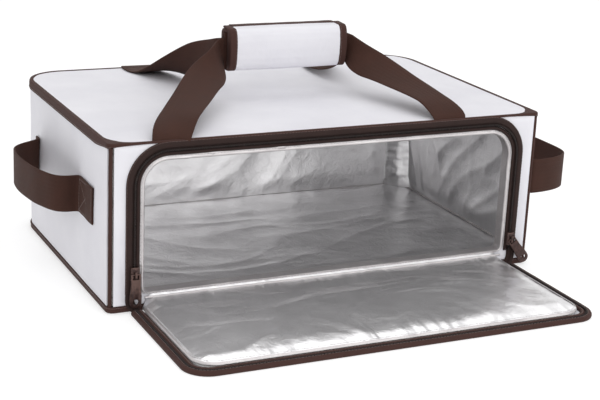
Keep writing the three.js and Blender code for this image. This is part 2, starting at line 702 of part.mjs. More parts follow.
function strapLeg(start, root, shares, landingLength) {
  const up = new THREE.Vector3(0, 0, 1);
  const side = Math.sign(start.x);
  const exit = start.clone().add(new THREE.Vector3(side * STRAP_EXIT, 0, 0));
  const way = root.clone().sub(exit);
  const landing = root.clone().setY(root.y - Math.sign(way.y) * landingLength);
  const middle = shares.map((row) => new THREE.Vector3(...row).multiply(way).add(exit));
  const route = new THREE.CatmullRomCurve3([start, exit, ...middle, landing, root]);
  const stations = [];
  for (let i = 0; i <= RIBBON_STEPS; i++) {
    const share = i / RIBBON_STEPS;
    const along = route.getTangentAt(share);
    const outward = new THREE.Vector3(along.x, along.y, 0).cross(up).normalize();
    outward.multiplyScalar(Math.sign(outward.x) * side);
    const twist = (THREE.MathUtils.smoothstep(share, twistStartShare, twistEndShare) * Math.PI) / 2;
    const across = up.clone().multiplyScalar(Math.cos(twist)).addScaledVector(outward, Math.sin(twist));
    const at = route.getPointAt(share);
    stations.push({ at: at.setZ(Math.max(at.z, root.z)), along, across });
  }
  return ribbon(stations, WEBBING_WIDTH, WEBBING);
}

function buildStraps() {
  const rootZ = BAG_HEIGHT + BINDING_RISE + GAP + WEBBING / 2;
  const front = { y: frontY + ROOT_INSET, landing: FRONT_STRAP_LANDING };
  const rear = { y: backY - ROOT_INSET, landing: REAR_STRAP_LANDING, setback: REAR_SETBACK, shares: rearShares };
  const frontLeft = { ...front, hand: "left", setback: LEFT_FRONT_SETBACK, shares: frontLeftShares };
  const frontRight = { ...front, hand: "right", setback: RIGHT_FRONT_SETBACK, shares: frontRightShares };
  const bands = [
    { name: "front", toward: -1, legs: [frontLeft, frontRight] },
    { name: "rear", toward: 1, legs: [{ ...rear, hand: "left" }, { ...rear, hand: "right" }] },
  ];
  const middleHalf = gripHalf + STRAP_CLEARANCE - GAP;
  for (const { name, toward, legs } of bands) {
    const bandY = gripY + (toward * (WEBBING_SPACE + WEBBING)) / 2;
    const [y0, y1] = [bandY - WEBBING / 2, bandY + WEBBING / 2];
    const [z0, z1] = [GRIP_HEIGHT - webHalf, GRIP_HEIGHT + webHalf];
    add(`${name}_strap_middle`, block(-middleHalf, middleHalf, y0, y1, z0, z1), brownTape);
    for (const { hand, y, landing, setback, shares } of legs) {
      const side = hand === "left" ? -1 : 1;
      const start = new THREE.Vector3(side * (gripHalf + STRAP_CLEARANCE), bandY, GRIP_HEIGHT);
      const root = new THREE.Vector3(side * (halfWidth - setback), y, rootZ);
      add(`${name}_strap_${hand}`, strapLeg(start, root, shares, landing), brownTape);
    }
  }
}

// Side handles: a webbing loop with both ends sewn flat to the wall
// Each row holds the share of the reach away from the wall and the share of the span from the lying root
const leftHandleShares = [
  [0.02, 0],
  [0.2, 0.01],
  [0.39, 0.05],
  [0.51, 0.15],
  [0.6, 0.27],
  [0.65, 0.41],
  [0.68, 0.56],
  [0.66, 0.72],
  [0.6, 0.82],
  [0.47, 0.89],
  [0.3, 0.94],
  [0.13, 0.98],
  [0.05, 1],
];
const rightHandleShares = [
  [0.02, 0],
  [0.13, 0.06],
  [0.44, 0.16],
  [0.76, 0.25],
  [0.96, 0.36],
  [1, 0.5],
  [1, 0.66],
  [0.98, 0.79],
  [0.9, 0.88],
  [0.73, 0.94],
  [0.49, 0.98],
  [0.18, 1],
  [0.05, 1],
];

function buildSideHandles() {
  const sides = [
    {
      name: "left",
      side: -1,
      front: LEFT_HANDLE_FRONT,
      lying: "front",
      shares: leftHandleShares,
      farPatch: HANDLE_SHORT_PATCH,
    },
    {
      name: "right",
      side: 1,
      front: RIGHT_HANDLE_FRONT,
      lying: "rear",
      shares: rightHandleShares,
      farPatch: HANDLE_PATCH,
    },
  ];
  const faceOut = GAP + WEBBING / 2;
  const up = new THREE.Vector3(0, 0, 1);
  for (const { name, side, front, lying, shares, farPatch } of sides) {
    const forward = lying === "front";
    const lyingY = forward ? front : front + HANDLE_SPAN;
    const step = forward ? 1 : -1;
    const place = (out, y) => new THREE.Vector3(side * (halfWidth + out), y, HANDLE_HEIGHT);
    const points = shares.map(([out, along]) =>
      place(faceOut + out * (HANDLE_REACH - faceOut), lyingY + step * along * HANDLE_SPAN),
    );
    const route = new THREE.CatmullRomCurve3(points, false, "centripetal").getSpacedPoints(4 * RIBBON_STEPS);
    const outOf = (p) => Math.abs(p.x) - halfWidth;
    const first = route.findIndex((p) => outOf(p) > HANDLE_END_REACH);
    const past = route.findLastIndex((p) => outOf(p) > HANDLE_END_REACH);
    const webbing = (list) => ribbon(list.map((at) => ({ at, across: up })), WEBBING_WIDTH, WEBBING);

    // The loop's free part starts a little after each end piece
    const away = (p, q) => q.clone().sub(p).setLength(GAP).add(p);
    const middle = [away(route[first], route[first + 1]), ...route.slice(first + 1, past)];
    middle.push(away(route[past], route[past - 1]));
    add(`${name}_handle_loop`, webbing(middle), brownTape);

    const lyingPatch = place(faceOut, lyingY - step * HANDLE_PATCH);
    const lyingEnd = [lyingPatch, place(faceOut, lyingY), ...route.slice(1, first + 1)];

    // The standing end's patch runs backwards, on the right in under the loop
    const standingY = lyingY + step * HANDLE_SPAN;
    const turned = Array.from({ length: HANDLE_TURN_STEPS }, (_, i) => {
      const angle = ((i + 1) / HANDLE_TURN_STEPS) * (Math.PI / 2);
      const out = faceOut + HANDLE_TURN * (1 - Math.sin(angle));
      return place(out, standingY + HANDLE_TURN * (1 - Math.cos(angle)));
    });
    const standingPatch = place(faceOut, standingY + farPatch);
    const standingEnd = [...route.slice(past, -1), ...turned, standingPatch];
    const [frontEnd, rearEnd] = forward ? [lyingEnd, standingEnd] : [standingEnd, lyingEnd];
    add(`${name}_handle_front_end`, webbing(frontEnd), brownTape);
    add(`${name}_handle_rear_end`, webbing(rearEnd), brownTape);
  }
}

buildShell();
buildLining();
buildMouth();
buildEdges();
buildBodyZip();
buildSliders();
buildDoor();
buildDoorHinge();
buildGrip();
buildStraps();
buildSideHandles();

export default bag;
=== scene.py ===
"""Insulated bag for flat food boxes, unzipped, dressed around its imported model.

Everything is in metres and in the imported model's frame: +X right, +Y back, +Z up.
"""

import logging
import math
from collections.abc import Callable, Sequence
from dataclasses import dataclass, field
from enum import Enum

import bpy
import numpy as np
from bpy.types import Material, Node, NodeSocket, Object
from mathutils import Matrix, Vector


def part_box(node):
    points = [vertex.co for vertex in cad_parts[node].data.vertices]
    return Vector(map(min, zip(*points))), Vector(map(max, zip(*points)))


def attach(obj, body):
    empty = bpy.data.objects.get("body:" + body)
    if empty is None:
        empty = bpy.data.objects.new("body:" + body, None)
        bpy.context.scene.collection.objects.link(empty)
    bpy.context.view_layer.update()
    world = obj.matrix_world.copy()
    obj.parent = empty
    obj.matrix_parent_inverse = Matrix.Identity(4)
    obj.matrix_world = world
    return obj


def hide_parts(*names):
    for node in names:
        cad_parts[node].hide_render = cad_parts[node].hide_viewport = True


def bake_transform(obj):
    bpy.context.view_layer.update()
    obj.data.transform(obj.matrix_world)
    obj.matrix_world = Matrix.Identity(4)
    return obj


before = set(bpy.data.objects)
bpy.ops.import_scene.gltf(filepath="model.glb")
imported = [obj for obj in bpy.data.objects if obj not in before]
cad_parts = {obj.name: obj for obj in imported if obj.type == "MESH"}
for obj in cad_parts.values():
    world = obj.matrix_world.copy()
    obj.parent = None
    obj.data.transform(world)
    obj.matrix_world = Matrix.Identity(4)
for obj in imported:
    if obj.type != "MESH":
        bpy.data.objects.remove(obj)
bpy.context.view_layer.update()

log = logging.getLogger("bag")
Array = np.ndarray
Pair = tuple[float, float]
Triple = tuple[float, float, float]
MM = 0.001
RIGHT, BACK, UP = np.eye(3)

# Camera, as solved from the corners of the body in the photograph
IMAGE_WIDTH = 600
SENSOR_WIDTH = 36.0
FOCAL_PIXELS = 1471.59
CAMERA_PLACE = (-0.65548, -1.43004, 0.53808)
CAMERA_AZIMUTH = math.radians(25.849)
CAMERA_ELEVATION = math.radians(17.303)
CAMERA_ROLL = math.radians(2.68)


# Noise and curves


class Ripple:
    """Smooth seeded noise over a plane, from about -1 to 1."""

    def __init__(self, seed: int) -> None:
        """Draws the noise's slopes.

        Args:
            seed: Start of the random draw, so that each run gives the same folds.
        """
        draw = np.random.default_rng(seed)
        self.order = np.concatenate([draw.permutation(256)] * 2)
        angles = draw.uniform(0, 2 * math.pi, 256)
        self.slopes = np.stack([np.cos(angles), np.sin(angles)], axis=-1)

    def at(self, a: Array, b: Array) -> Array:
        """Noise at points of the plane.

        Args:
            a: First coordinate, in wavelengths.
            b: Second coordinate, in wavelengths.

        Returns:
            The noise, in the shape of the coordinates.
        """
        a, b = np.broadcast_arrays(a, b)
        cell_a, cell_b = np.floor(a).astype(int), np.floor(b).astype(int)
        share_a, share_b = a - cell_a, b - cell_b

        def corner(step_a: int, step_b: int) -> Array:
            """Pull of one corner of the cell.

            Args:
                step_a: 0 or 1 along the first coordinate.
                step_b: 0 or 1 along the second.

            Returns:
                The pull at each point.
            """
            row = self.order[(cell_a + step_a) & 255]
            slope = self.slopes[self.order[(row + cell_b + step_b) & 255]]
            return slope[..., 0] * (share_a - step_a) + slope[..., 1] * (share_b - step_b)

        fade_a, fade_b = smooth(share_a), smooth(share_b)
        low = corner(0, 0) + fade_a * (corner(1, 0) - corner(0, 0))
        high = corner(0, 1) + fade_a * (corner(1, 1) - corner(0, 1))
        return 1.6 * (low + fade_b * (high - low))

    def ridges(self, a: Array, b: Array, sharpness: float = 2.0) -> Array:
        """Narrow crests from 0 to 1, as of folded cloth."""
        return (1 - np.minimum(np.abs(self.at(a, b)) * 1.3, 1)) ** sharpness


def smooth(share: Array) -> Array:
    """Eases a share from 0 to 1, level at both ends."""
    share = np.clip(share, 0, 1)
    return share * share * (3 - 2 * share)


def unit(vectors: Array) -> Array:
    """The vectors at length one."""
    return vectors / np.maximum(np.linalg.norm(vectors, axis=-1, keepdims=True), 1e-12)


def travelled(points: Array) -> Array:
    """Distance along a line at each of its points."""
    return np.concatenate([[0], np.cumsum(np.linalg.norm(np.diff(points, axis=0), axis=1))])


def between(at: Array, along: Array, rows: Array) -> Array:
    """Rows that hold at given distances, taken between the known ones."""
    return np.stack([np.interp(at, along, column) for column in rows.T], axis=-1)


def evenly(points: Array, step: float) -> Array:
    """Points spread evenly along a dense line, about a step apart, with both ends kept."""
    along = travelled(points)
    return between(np.linspace(0, along[-1], max(int(round(along[-1] / step)), 2) + 1), along, points)


def spots(x: Array | float, y: Array | float, z: Array | float) -> Array:
    """Points in space, from coordinates that are lists or single numbers."""
    return np.stack(np.broadcast_arrays(x, y, z), axis=-1).astype(float)


def spline(knots: Sequence[Sequence[float]], step: float) -> Array:
    """Smooth curve through points.

    Args:
        knots: The points to pass through.
        step: Distance between the points of the result.

    Returns:
        Evenly spaced points of a natural cubic spline.
    """
    knots = np.asarray(knots, float)
    gaps = np.linalg.norm(np.diff(knots, axis=0), axis=1) ** 0.7
    at = np.concatenate([[0], np.cumsum(gaps)])
    count = len(knots)
    system, right = np.zeros((count, count)), np.zeros((count, knots.shape[1]))
    system[0, 0] = system[-1, -1] = 1
    for i in range(1, count - 1):
        before, after = gaps[i - 1], gaps[i]
        system[i, i - 1 : i + 2] = before, 2 * (before + after), after
        right[i] = 6 * ((knots[i + 1] - knots[i]) / after - (knots[i] - knots[i - 1]) / before)
    bend = np.linalg.solve(system, right)
    fine = np.linspace(0, at[-1], 60 * count)
    i = np.clip(np.searchsorted(at, fine, side="right") - 1, 0, count - 2)
    gap, left = gaps[i][:, None], (fine - at[i])[:, None]
    rest = gap - left
    curve = (bend[i] * rest**3 + bend[i + 1] * left**3) / (6 * gap)
    curve += (knots[i] / gap - bend[i] * gap / 6) * rest + (knots[i + 1] / gap - bend[i + 1] * gap / 6) * left
    return evenly(curve, step)


@dataclass(frozen=True)
class Plane:
    """A flat frame in space that pieces are laid out on.

    Attributes:
        origin: Point that the plane's coordinates start from.
        across: Direction of the first coordinate.
        away: Direction of the second coordinate.
        up: Direction in which a piece stands off the plane.
    """

    origin: Triple
    across: Triple
    away: Triple
    up: Triple

    def place(self, a: Array, b: Array, height: Array | float = 0.0) -> Array:
        """Points in space for coordinates on the plane.

        Args:
            a: First coordinate.
            b: Second coordinate.
            height: Height above the plane.

        Returns:
            The points, in the shape of the coordinates.
        """
        a, b, height = np.broadcast_arrays(a, b, height)
        axes = np.array([self.across, self.away, self.up], float)
        return np.array(self.origin) + np.stack([a, b, height], axis=-1) @ axes

    def turn(self, directions: Array) -> Array:
        """Directions in space for directions on the plane."""
        return directions @ np.array([self.across, self.away], float)


@dataclass(frozen=True)
class Track:
    """A flat line that bands and stitches follow.

    Attributes:
        points: Its points on the plane.
        outward: Direction to the left of travel at each point.
        along: Distance travelled at each point.
        closed: Whether its ends meet.
    """

    points: Array
    outward: Array
    along: Array
    closed: bool

    @staticmethod
    def through(
        corners: Sequence[Sequence[float]], radii: Sequence[float], step: float, closed: bool = False
    ) -> "Track":
        """Line through corners that are rounded.

        Args:
            corners: Corner points, clockwise where the line goes round a piece.
            radii: Radius of each corner.
            step: Distance between points.
            closed: Whether the line returns to its start.

        Returns:
            The track.
        """
        knots = [np.array(c, float) for c in corners]
        count = len(knots)
        dense = []
        for i, (spot, radius) in enumerate(zip(knots, radii)):
            if radius <= 0 or (not closed and i in (0, count - 1)):
                dense.append(spot)
                continue
            arrive = unit(spot - knots[i - 1])
            leave = unit(knots[(i + 1) % count] - spot)
            angle = math.acos(float(np.clip(arrive @ leave, -1, 1)))
            reach = radius * math.tan(angle / 2)
            start = spot - arrive * reach
            side = math.copysign(1.0, arrive[0] * leave[1] - arrive[1] * leave[0])
            normal = side * np.array([-arrive[1], arrive[0]])
            centre = start + normal * radius
            for turn in np.linspace(0, angle, 25):
                spoke = -normal * math.cos(turn) + arrive * math.sin(turn)
                dense.append(centre + spoke * radius)
        if closed:
            dense.append(dense[0])
        return Track.of(evenly(np.array(dense), step), closed)

    @staticmethod
    def of(points: Array, closed: bool = False) -> "Track":
        """Track of points that are already spaced.

        Args:
            points: The line's points.
            closed: Whether its ends meet.

        Returns:
            The track.
        """
        after, before = (1, -2) if closed else (-1, 0)
        ahead = np.vstack([points[1:], points[after]])
        behind = np.vstack([points[before], points[:-1]])
        run = unit(ahead - behind)
        outward = np.stack([-run[:, 1], run[:, 0]], axis=-1)
        return Track(points, outward, travelled(points), closed)

    def shifted(self, outward: float) -> "Track":
        """The same line moved outwards."""
        return Track.of(self.points + self.outward * outward, self.closed)


# Meshes


def select_only(piece: Object) -> None:
    """Makes one piece the only selected one, and the active one.

    Args:
        piece: The piece to select.
    """
    for other in list(bpy.context.selected_objects):
        other.select_set(False)
    piece.select_set(True)
    bpy.context.view_layer.objects.active = piece


def tidy_faces(piece: Object, closed: bool = True, sharp: float = 50.0) -> Object:
    """Merges doubles, points the faces outwards and smooths all but sharp edges.

    Args:
        piece: The piece.
        closed: Whether it is a closed form, whose outside is known.
        sharp: Angle in degrees above which an edge stays sharp.

    Returns:
        The piece.
    """
    select_only(piece)
    bpy.ops.object.mode_set(mode="EDIT")
    bpy.ops.mesh.select_all(action="SELECT")
    bpy.ops.mesh.remove_doubles(threshold=0.004 * MM)
    bpy.ops.mesh.dissolve_degenerate(threshold=0.002 * MM)
    if closed:
        bpy.ops.mesh.normals_make_consistent(inside=False)
    bpy.ops.object.mode_set(mode="OBJECT")
    bpy.ops.object.shade_smooth_by_angle(angle=math.radians(sharp))
    return piece


def mesh_piece(name: str, points: Array, faces: list, maps: Array | None = None) -> Object:
    """A piece from points and faces.

    Args:
        name: The piece's name.
        points: Its points, one a row.
        faces: Tuples of point numbers.
        maps: Place of each point on the cloth, for the weave, or None.

    Returns:
        The piece, linked to the scene.
    """
    mesh = bpy.data.meshes.new(name)
    mesh.from_pydata(points.tolist(), [], faces)
    if maps is not None:
        layer = mesh.uv_layers.new(name="weave")
        corners = np.zeros(len(mesh.loops), np.int32)
        mesh.loops.foreach_get("vertex_index", corners)
        layer.data.foreach_set("uv", maps[corners].astype(np.float32).ravel())
    piece = bpy.data.objects.new(name, mesh)
    bpy.context.scene.collection.objects.link(piece)
    return piece


def grid_faces(rows: int, columns: int, start: int = 0, wrap: bool = False) -> list:
    """Faces of a grid of points.

    Args:
        rows: Number of rows.
        columns: Points in a row.
        start: Number of the first point.
        wrap: Whether the last row joins the first.

    Returns:
        Four-cornered faces.
    """
    faces = []
    for i in range(rows if wrap else rows - 1):
        here, there = start + i * columns, start + (i + 1) % rows * columns
        faces += [(here + j, here + j + 1, there + j + 1, there + j) for j in range(columns - 1)]
    return faces


def closed_sheet(
    name: str, front: Array, back: Array, maps: Array | None = None, ring: bool = False
) -> Object:
    """A sheet with two faces and a rim.

    Args:
        name: The piece's name.
        front: Grid of points of the seen face.
        back: Grid of points of the other face.
        maps: Place of each grid point on the cloth, or None.
        ring: Whether the first and last rows are the same, so that it goes all round.

    Returns:
        The closed piece.
    """
    rows, columns = front.shape[:2]
    count = rows * columns
    faces = grid_faces(rows, columns)
    faces += [tuple(count + k for k in reversed(face)) for face in grid_faces(rows, columns)]
    if ring:
        rims = [[i * columns + j for i in range(rows)] for j in (0, columns - 1)]
    else:
        rim = [*range(columns), *(i * columns + columns - 1 for i in range(1, rows))]
        rim += [(rows - 1) * columns + j for j in range(columns - 2, -1, -1)]
        rims = [rim + [i * columns for i in range(rows - 2, -1, -1)]]
    for rim in rims:
        faces += [(a, b, count + b, count + a) for a, b in zip(rim, rim[1:])]
    points = np.vstack([front.reshape(-1, 3), back.reshape(-1, 3)])
    both = None if maps is None else np.vstack([maps.reshape(-1, 2)] * 2)
    return tidy_faces(mesh_piece(name, points, faces, both))


def sweep(
    name: str, centre: Array, outward: Array, up: Array, profile: Array, closed: bool = False
) -> Object:
    """A band of one cross-section along a line.

    Args:
        name: The piece's name.
        centre: Points of the line.
        outward: Direction of the profile's first coordinate, one for all points or one for each.
        up: Direction of its second coordinate, likewise.
        profile: Closed outline, as (outward, up) rows, or one such list for each point.
        closed: Whether the line's ends meet.

    Returns:
        The closed piece, with the weave running along it.
    """
    stations = len(centre)
    profile = np.broadcast_to(profile, (stations, *profile.shape[-2:]))
    outward, up = np.broadcast_to(outward, centre.shape), np.broadcast_to(up, centre.shape)
    sides = profile.shape[1]
    ring = np.concatenate([profile, profile[:, :1]], axis=1)
    points = centre[:, None] + ring[..., :1] * outward[:, None] + ring[..., 1:] * up[:, None]
    lengths = np.linalg.norm(np.diff(ring, axis=1), axis=2)
    around = np.concatenate([np.zeros((stations, 1)), np.cumsum(lengths, axis=1)], axis=1)
    along = np.repeat(travelled(centre)[:, None], sides + 1, axis=1)
    faces = grid_faces(stations, sides + 1)
    if not closed:
        faces.append(tuple(range(sides)))
        faces.append(tuple((stations - 1) * (sides + 1) + k for k in range(sides)))
    maps = np.stack([along, around], axis=-1).reshape(-1, 2)
    return tidy_faces(mesh_piece(name, points.reshape(-1, 3), faces, maps))


def sweep_on(name: str, plane: Plane, track: Track, level: float, profile: Array) -> Object:
    """A band along a track of a plane, at one height above it."""
    centre = plane.place(*track.points.T, level)
    return sweep(name, centre, plane.turn(track.outward), np.array(plane.up), profile, track.closed)


def varied(rows: Sequence[tuple], count: int) -> Array:
    """Outlines for each point of a line, from (outward, up) rows of numbers or lists."""
    return np.stack([np.stack(np.broadcast_arrays(*row, np.zeros(count))[:2], -1) for row in rows], 1)


def round_profile(radius: float, sides: int = 12) -> Array:
    """Outline of a round cord."""
    turns = np.arange(sides) * 2 * math.pi / sides
    return radius * np.stack([np.cos(turns), np.sin(turns)], axis=-1)


def flat_profile(width: float, thickness: float, edge: int = 3) -> Array:
    """Outline of flat webbing with rounded edges, its width along the first coordinate.

    Args:
        width: The webbing's width.
        thickness: Its thickness.
        edge: Points along a rounded edge, without its two ends.

    Returns:
        The outline, one point a row.
    """
    half, radius = width / 2, thickness / 2
    turns = np.linspace(-math.pi / 2, math.pi / 2, edge + 2)
    right = np.stack([half - radius + radius * np.cos(turns), radius * np.sin(turns)], axis=-1)
    inner = np.linspace(half - radius, -half + radius, 9)[1:-1]
    top = np.stack([inner, np.full_like(inner, radius)], axis=-1)
    return np.vstack([right, top, -right, -top])


class PanelGrid:
    """Points over a rectangle with rounded corners, on a plane."""

    def __init__(self, low: Pair, high: Pair, radii: Sequence[float], step: float) -> None:
        """Spreads the points.

        Args:
            low: Lowest coordinates.
            high: Highest coordinates.
            radii: Corner radii: low-low, high-low, high-high and low-high.
            step: Distance between points.
        """
        counts = [max(int(round((h - l) / step)), 3) + 1 for l, h in zip(low, high)]
        lines = [np.linspace(l, h, n) for l, h, n in zip(low, high, counts)]
        a, b = np.meshgrid(*lines, indexing="ij")
        self.sides = (a - low[0], high[0] - a, b - low[1], high[1] - b)
        self.edge = np.minimum.reduce(self.sides)
        span = (low, high)
        for (end_a, end_b), radius in zip(((0, 0), (1, 0), (1, 1), (0, 1)), radii):
            if radius <= 0:
                continue
            sign_a, sign_b = 2 * end_a - 1, 2 * end_b - 1
            centre_a = span[end_a][0] - sign_a * radius
            centre_b = span[end_b][1] - sign_b * radius
            share_a = (a - centre_a) * sign_a / radius
            share_b = (b - centre_b) * sign_b / radius
            inside = (share_a > 0) & (share_b > 0)
            round_a = share_a * np.sqrt(np.clip(1 - share_b**2 / 2, 0, 1))
            round_b = share_b * np.sqrt(np.clip(1 - share_a**2 / 2, 0, 1))
            a = np.where(inside, centre_a + sign_a * radius * round_a, a)
            b = np.where(inside, centre_b + sign_b * radius * round_b, b)
        self.a, self.b = a, b

    @property
    def maps(self) -> Array:
        """Place of each point on the cloth."""
        return np.stack([self.a, self.b], axis=-1)


def panel(name: str, plane: Plane, grid: PanelGrid, seen: Array | float, hidden: Array | float) -> Object:
    """A sheet over a grid, from the heights of its seen and its hidden face above a plane."""
    return closed_sheet(name, *(plane.place(grid.a, grid.b, face) for face in (seen, hidden)), grid.maps)


class Thread:
    """Stitches and zip teeth: one small form that is copied along a line."""

    def __init__(self, name: str, form: Callable[[], Object]) -> None:
        """Models the form once and keeps its points.

        Args:
            name: The form's name, kept on the object but not used; each row gets its own name.
            form: Function that models it at the origin, along X and with Z up.
        """
        self.name = name
        made = form()
        self.points = np.array([v.co for v in made.data.vertices], float)
        self.faces = [tuple(p.vertices) for p in made.data.polygons]
        bpy.data.objects.remove(made)

    def row(self, name: str, places: Array, along: Array, up: Array) -> Object:
        """Copies of the form.

        Args:
            name: Name of the new piece.
            places: Middle of each copy.
            along: Direction in which each one lies.
            up: Direction that each one's top faces.

        Returns:
            One piece that holds all the copies.
        """
        up = np.broadcast_to(up, places.shape)
        side = unit(np.cross(up, along))
        axes = np.stack([along, side, unit(np.cross(along, side))], axis=1)
        points = places[:, None] + np.einsum("pk,nkc->npc", self.points, axes)
        count = len(self.points)
        faces = [tuple(k + i * count for k in face) for i in range(len(places)) for face in self.faces]
        piece = mesh_piece(name, points.reshape(-1, 3), faces)
        select_only(piece)
        bpy.ops.object.shade_smooth_by_angle(angle=math.radians(60))
        return piece

    def along(self, name: str, line: Array, up: Array, pitch: float) -> Object:
        """Copies at an even pitch along a line in space.

        Args:
            name: Name of the new piece.
            line: Points of the line.
            up: Direction that the tops face.
            pitch: Distance from one copy to the next.

        Returns:
            One piece that holds all the copies.
        """
        distance = travelled(line)
        at = np.arange(pitch / 2, distance[-1], pitch)
        ahead, behind = (between(at + shift, distance, line) for shift in (pitch / 4, -pitch / 4))
        tops = between(at, distance, np.broadcast_to(up, line.shape))
        return self.row(name, between(at, distance, line), unit(ahead - behind), unit(tops))


def stitch_form() -> Object:
    """One stitch: a short thread whose ends dive into the cloth.

    Returns:
        The stitch, at the origin.
    """
    length, radius = 2.3 * MM, 0.28 * MM
    bpy.ops.mesh.primitive_cylinder_add(vertices=6, radius=radius, depth=length, rotation=(0, math.pi / 2, 0))
    stitch = bpy.context.object
    bpy.ops.object.transform_apply()
    for sign in (-1, 1):
        bpy.ops.object.mode_set(mode="EDIT")
        bpy.ops.mesh.select_all(action="DESELECT")
        bpy.ops.object.mode_set(mode="OBJECT")
        for face in stitch.data.polygons:
            face.select = face.normal.x * sign > 0.9
        bpy.ops.object.mode_set(mode="EDIT")
        bpy.ops.mesh.select_mode(type="FACE")
        bpy.ops.mesh.extrude_region_move(TRANSFORM_OT_translate={"value": (sign * 0.35 * MM, 0, -0.3 * MM)})
        bpy.ops.transform.resize(value=(1, 0.5, 0.5))
        bpy.ops.object.mode_set(mode="OBJECT")
    return stitch


def tooth_form() -> Object:
    """One turn of the zip's coil: a rounded bar across the line, thicker at its head.

    Returns:
        The tooth, at the origin.
    """
    bpy.ops.mesh.primitive_cube_add(size=1)
    tooth = bpy.context.object
    tooth.scale = (1.05 * MM, 2.5 * MM, 1.9 * MM)
    bpy.ops.object.transform_apply()
    bpy.ops.object.mode_set(mode="EDIT")
    bpy.ops.mesh.select_all(action="SELECT")
    bpy.ops.mesh.bevel(offset=0.42 * MM, segments=1, affect="EDGES")
    bpy.ops.object.mode_set(mode="OBJECT")
    return tooth


# Shaders


def tint(red: int, green: int, blue: int) -> tuple[float, float, float, float]:
    """A colour as it shows on a screen, in the shader's linear values."""
    shares = [c / 255 for c in (red, green, blue)]
    return (*[s / 12.92 if s <= 0.04045 else ((s + 0.055) / 1.055) ** 2.4 for s in shares], 1.0)


def sum_of(operation: str, swapped: bool = False) -> Callable:
    """Method of a wire that makes a Math node.

    Args:
        operation: The node's operation.
        swapped: Whether the wire is the second number.

    Returns:
        The method.
    """

    def method(self: "Wire", other: "Wire | float") -> "Wire":
        """The node's result."""
        return self.shade.maths(operation, *((other, self) if swapped else (self, other)))

    return method


class Wire:
    """One socket of a shader, on which sums are written as plain expressions."""

    def __init__(self, shade: "Shade", socket: NodeSocket) -> None:
        """Keeps the socket and the shader that it belongs to."""
        self.shade = shade
        self.socket = socket

    __add__ = __radd__ = sum_of("ADD")
    __sub__, __rsub__ = sum_of("SUBTRACT"), sum_of("SUBTRACT", swapped=True)
    __mul__ = __rmul__ = sum_of("MULTIPLY")
    __truediv__, __pow__ = sum_of("DIVIDE"), sum_of("POWER")

    def wave(self) -> "Wire":
        """Sine of the number, taken in turns."""
        return self.shade.maths("SINE", self * (2 * math.pi))

    def zigzag(self, width: float) -> "Wire":
        """The number folded back and forth between 0 and a width."""
        return self.shade.maths("PINGPONG", self, width)

    def size(self) -> "Wire":
        """The number without its sign."""
        return self.shade.maths("ABSOLUTE", self)

    def within(self, low: float, high: float) -> "Wire":
        """The share of the way from low to high, held between 0 and 1."""
        return self.shade.maths("DIVIDE", self - low, high - low, held=True)


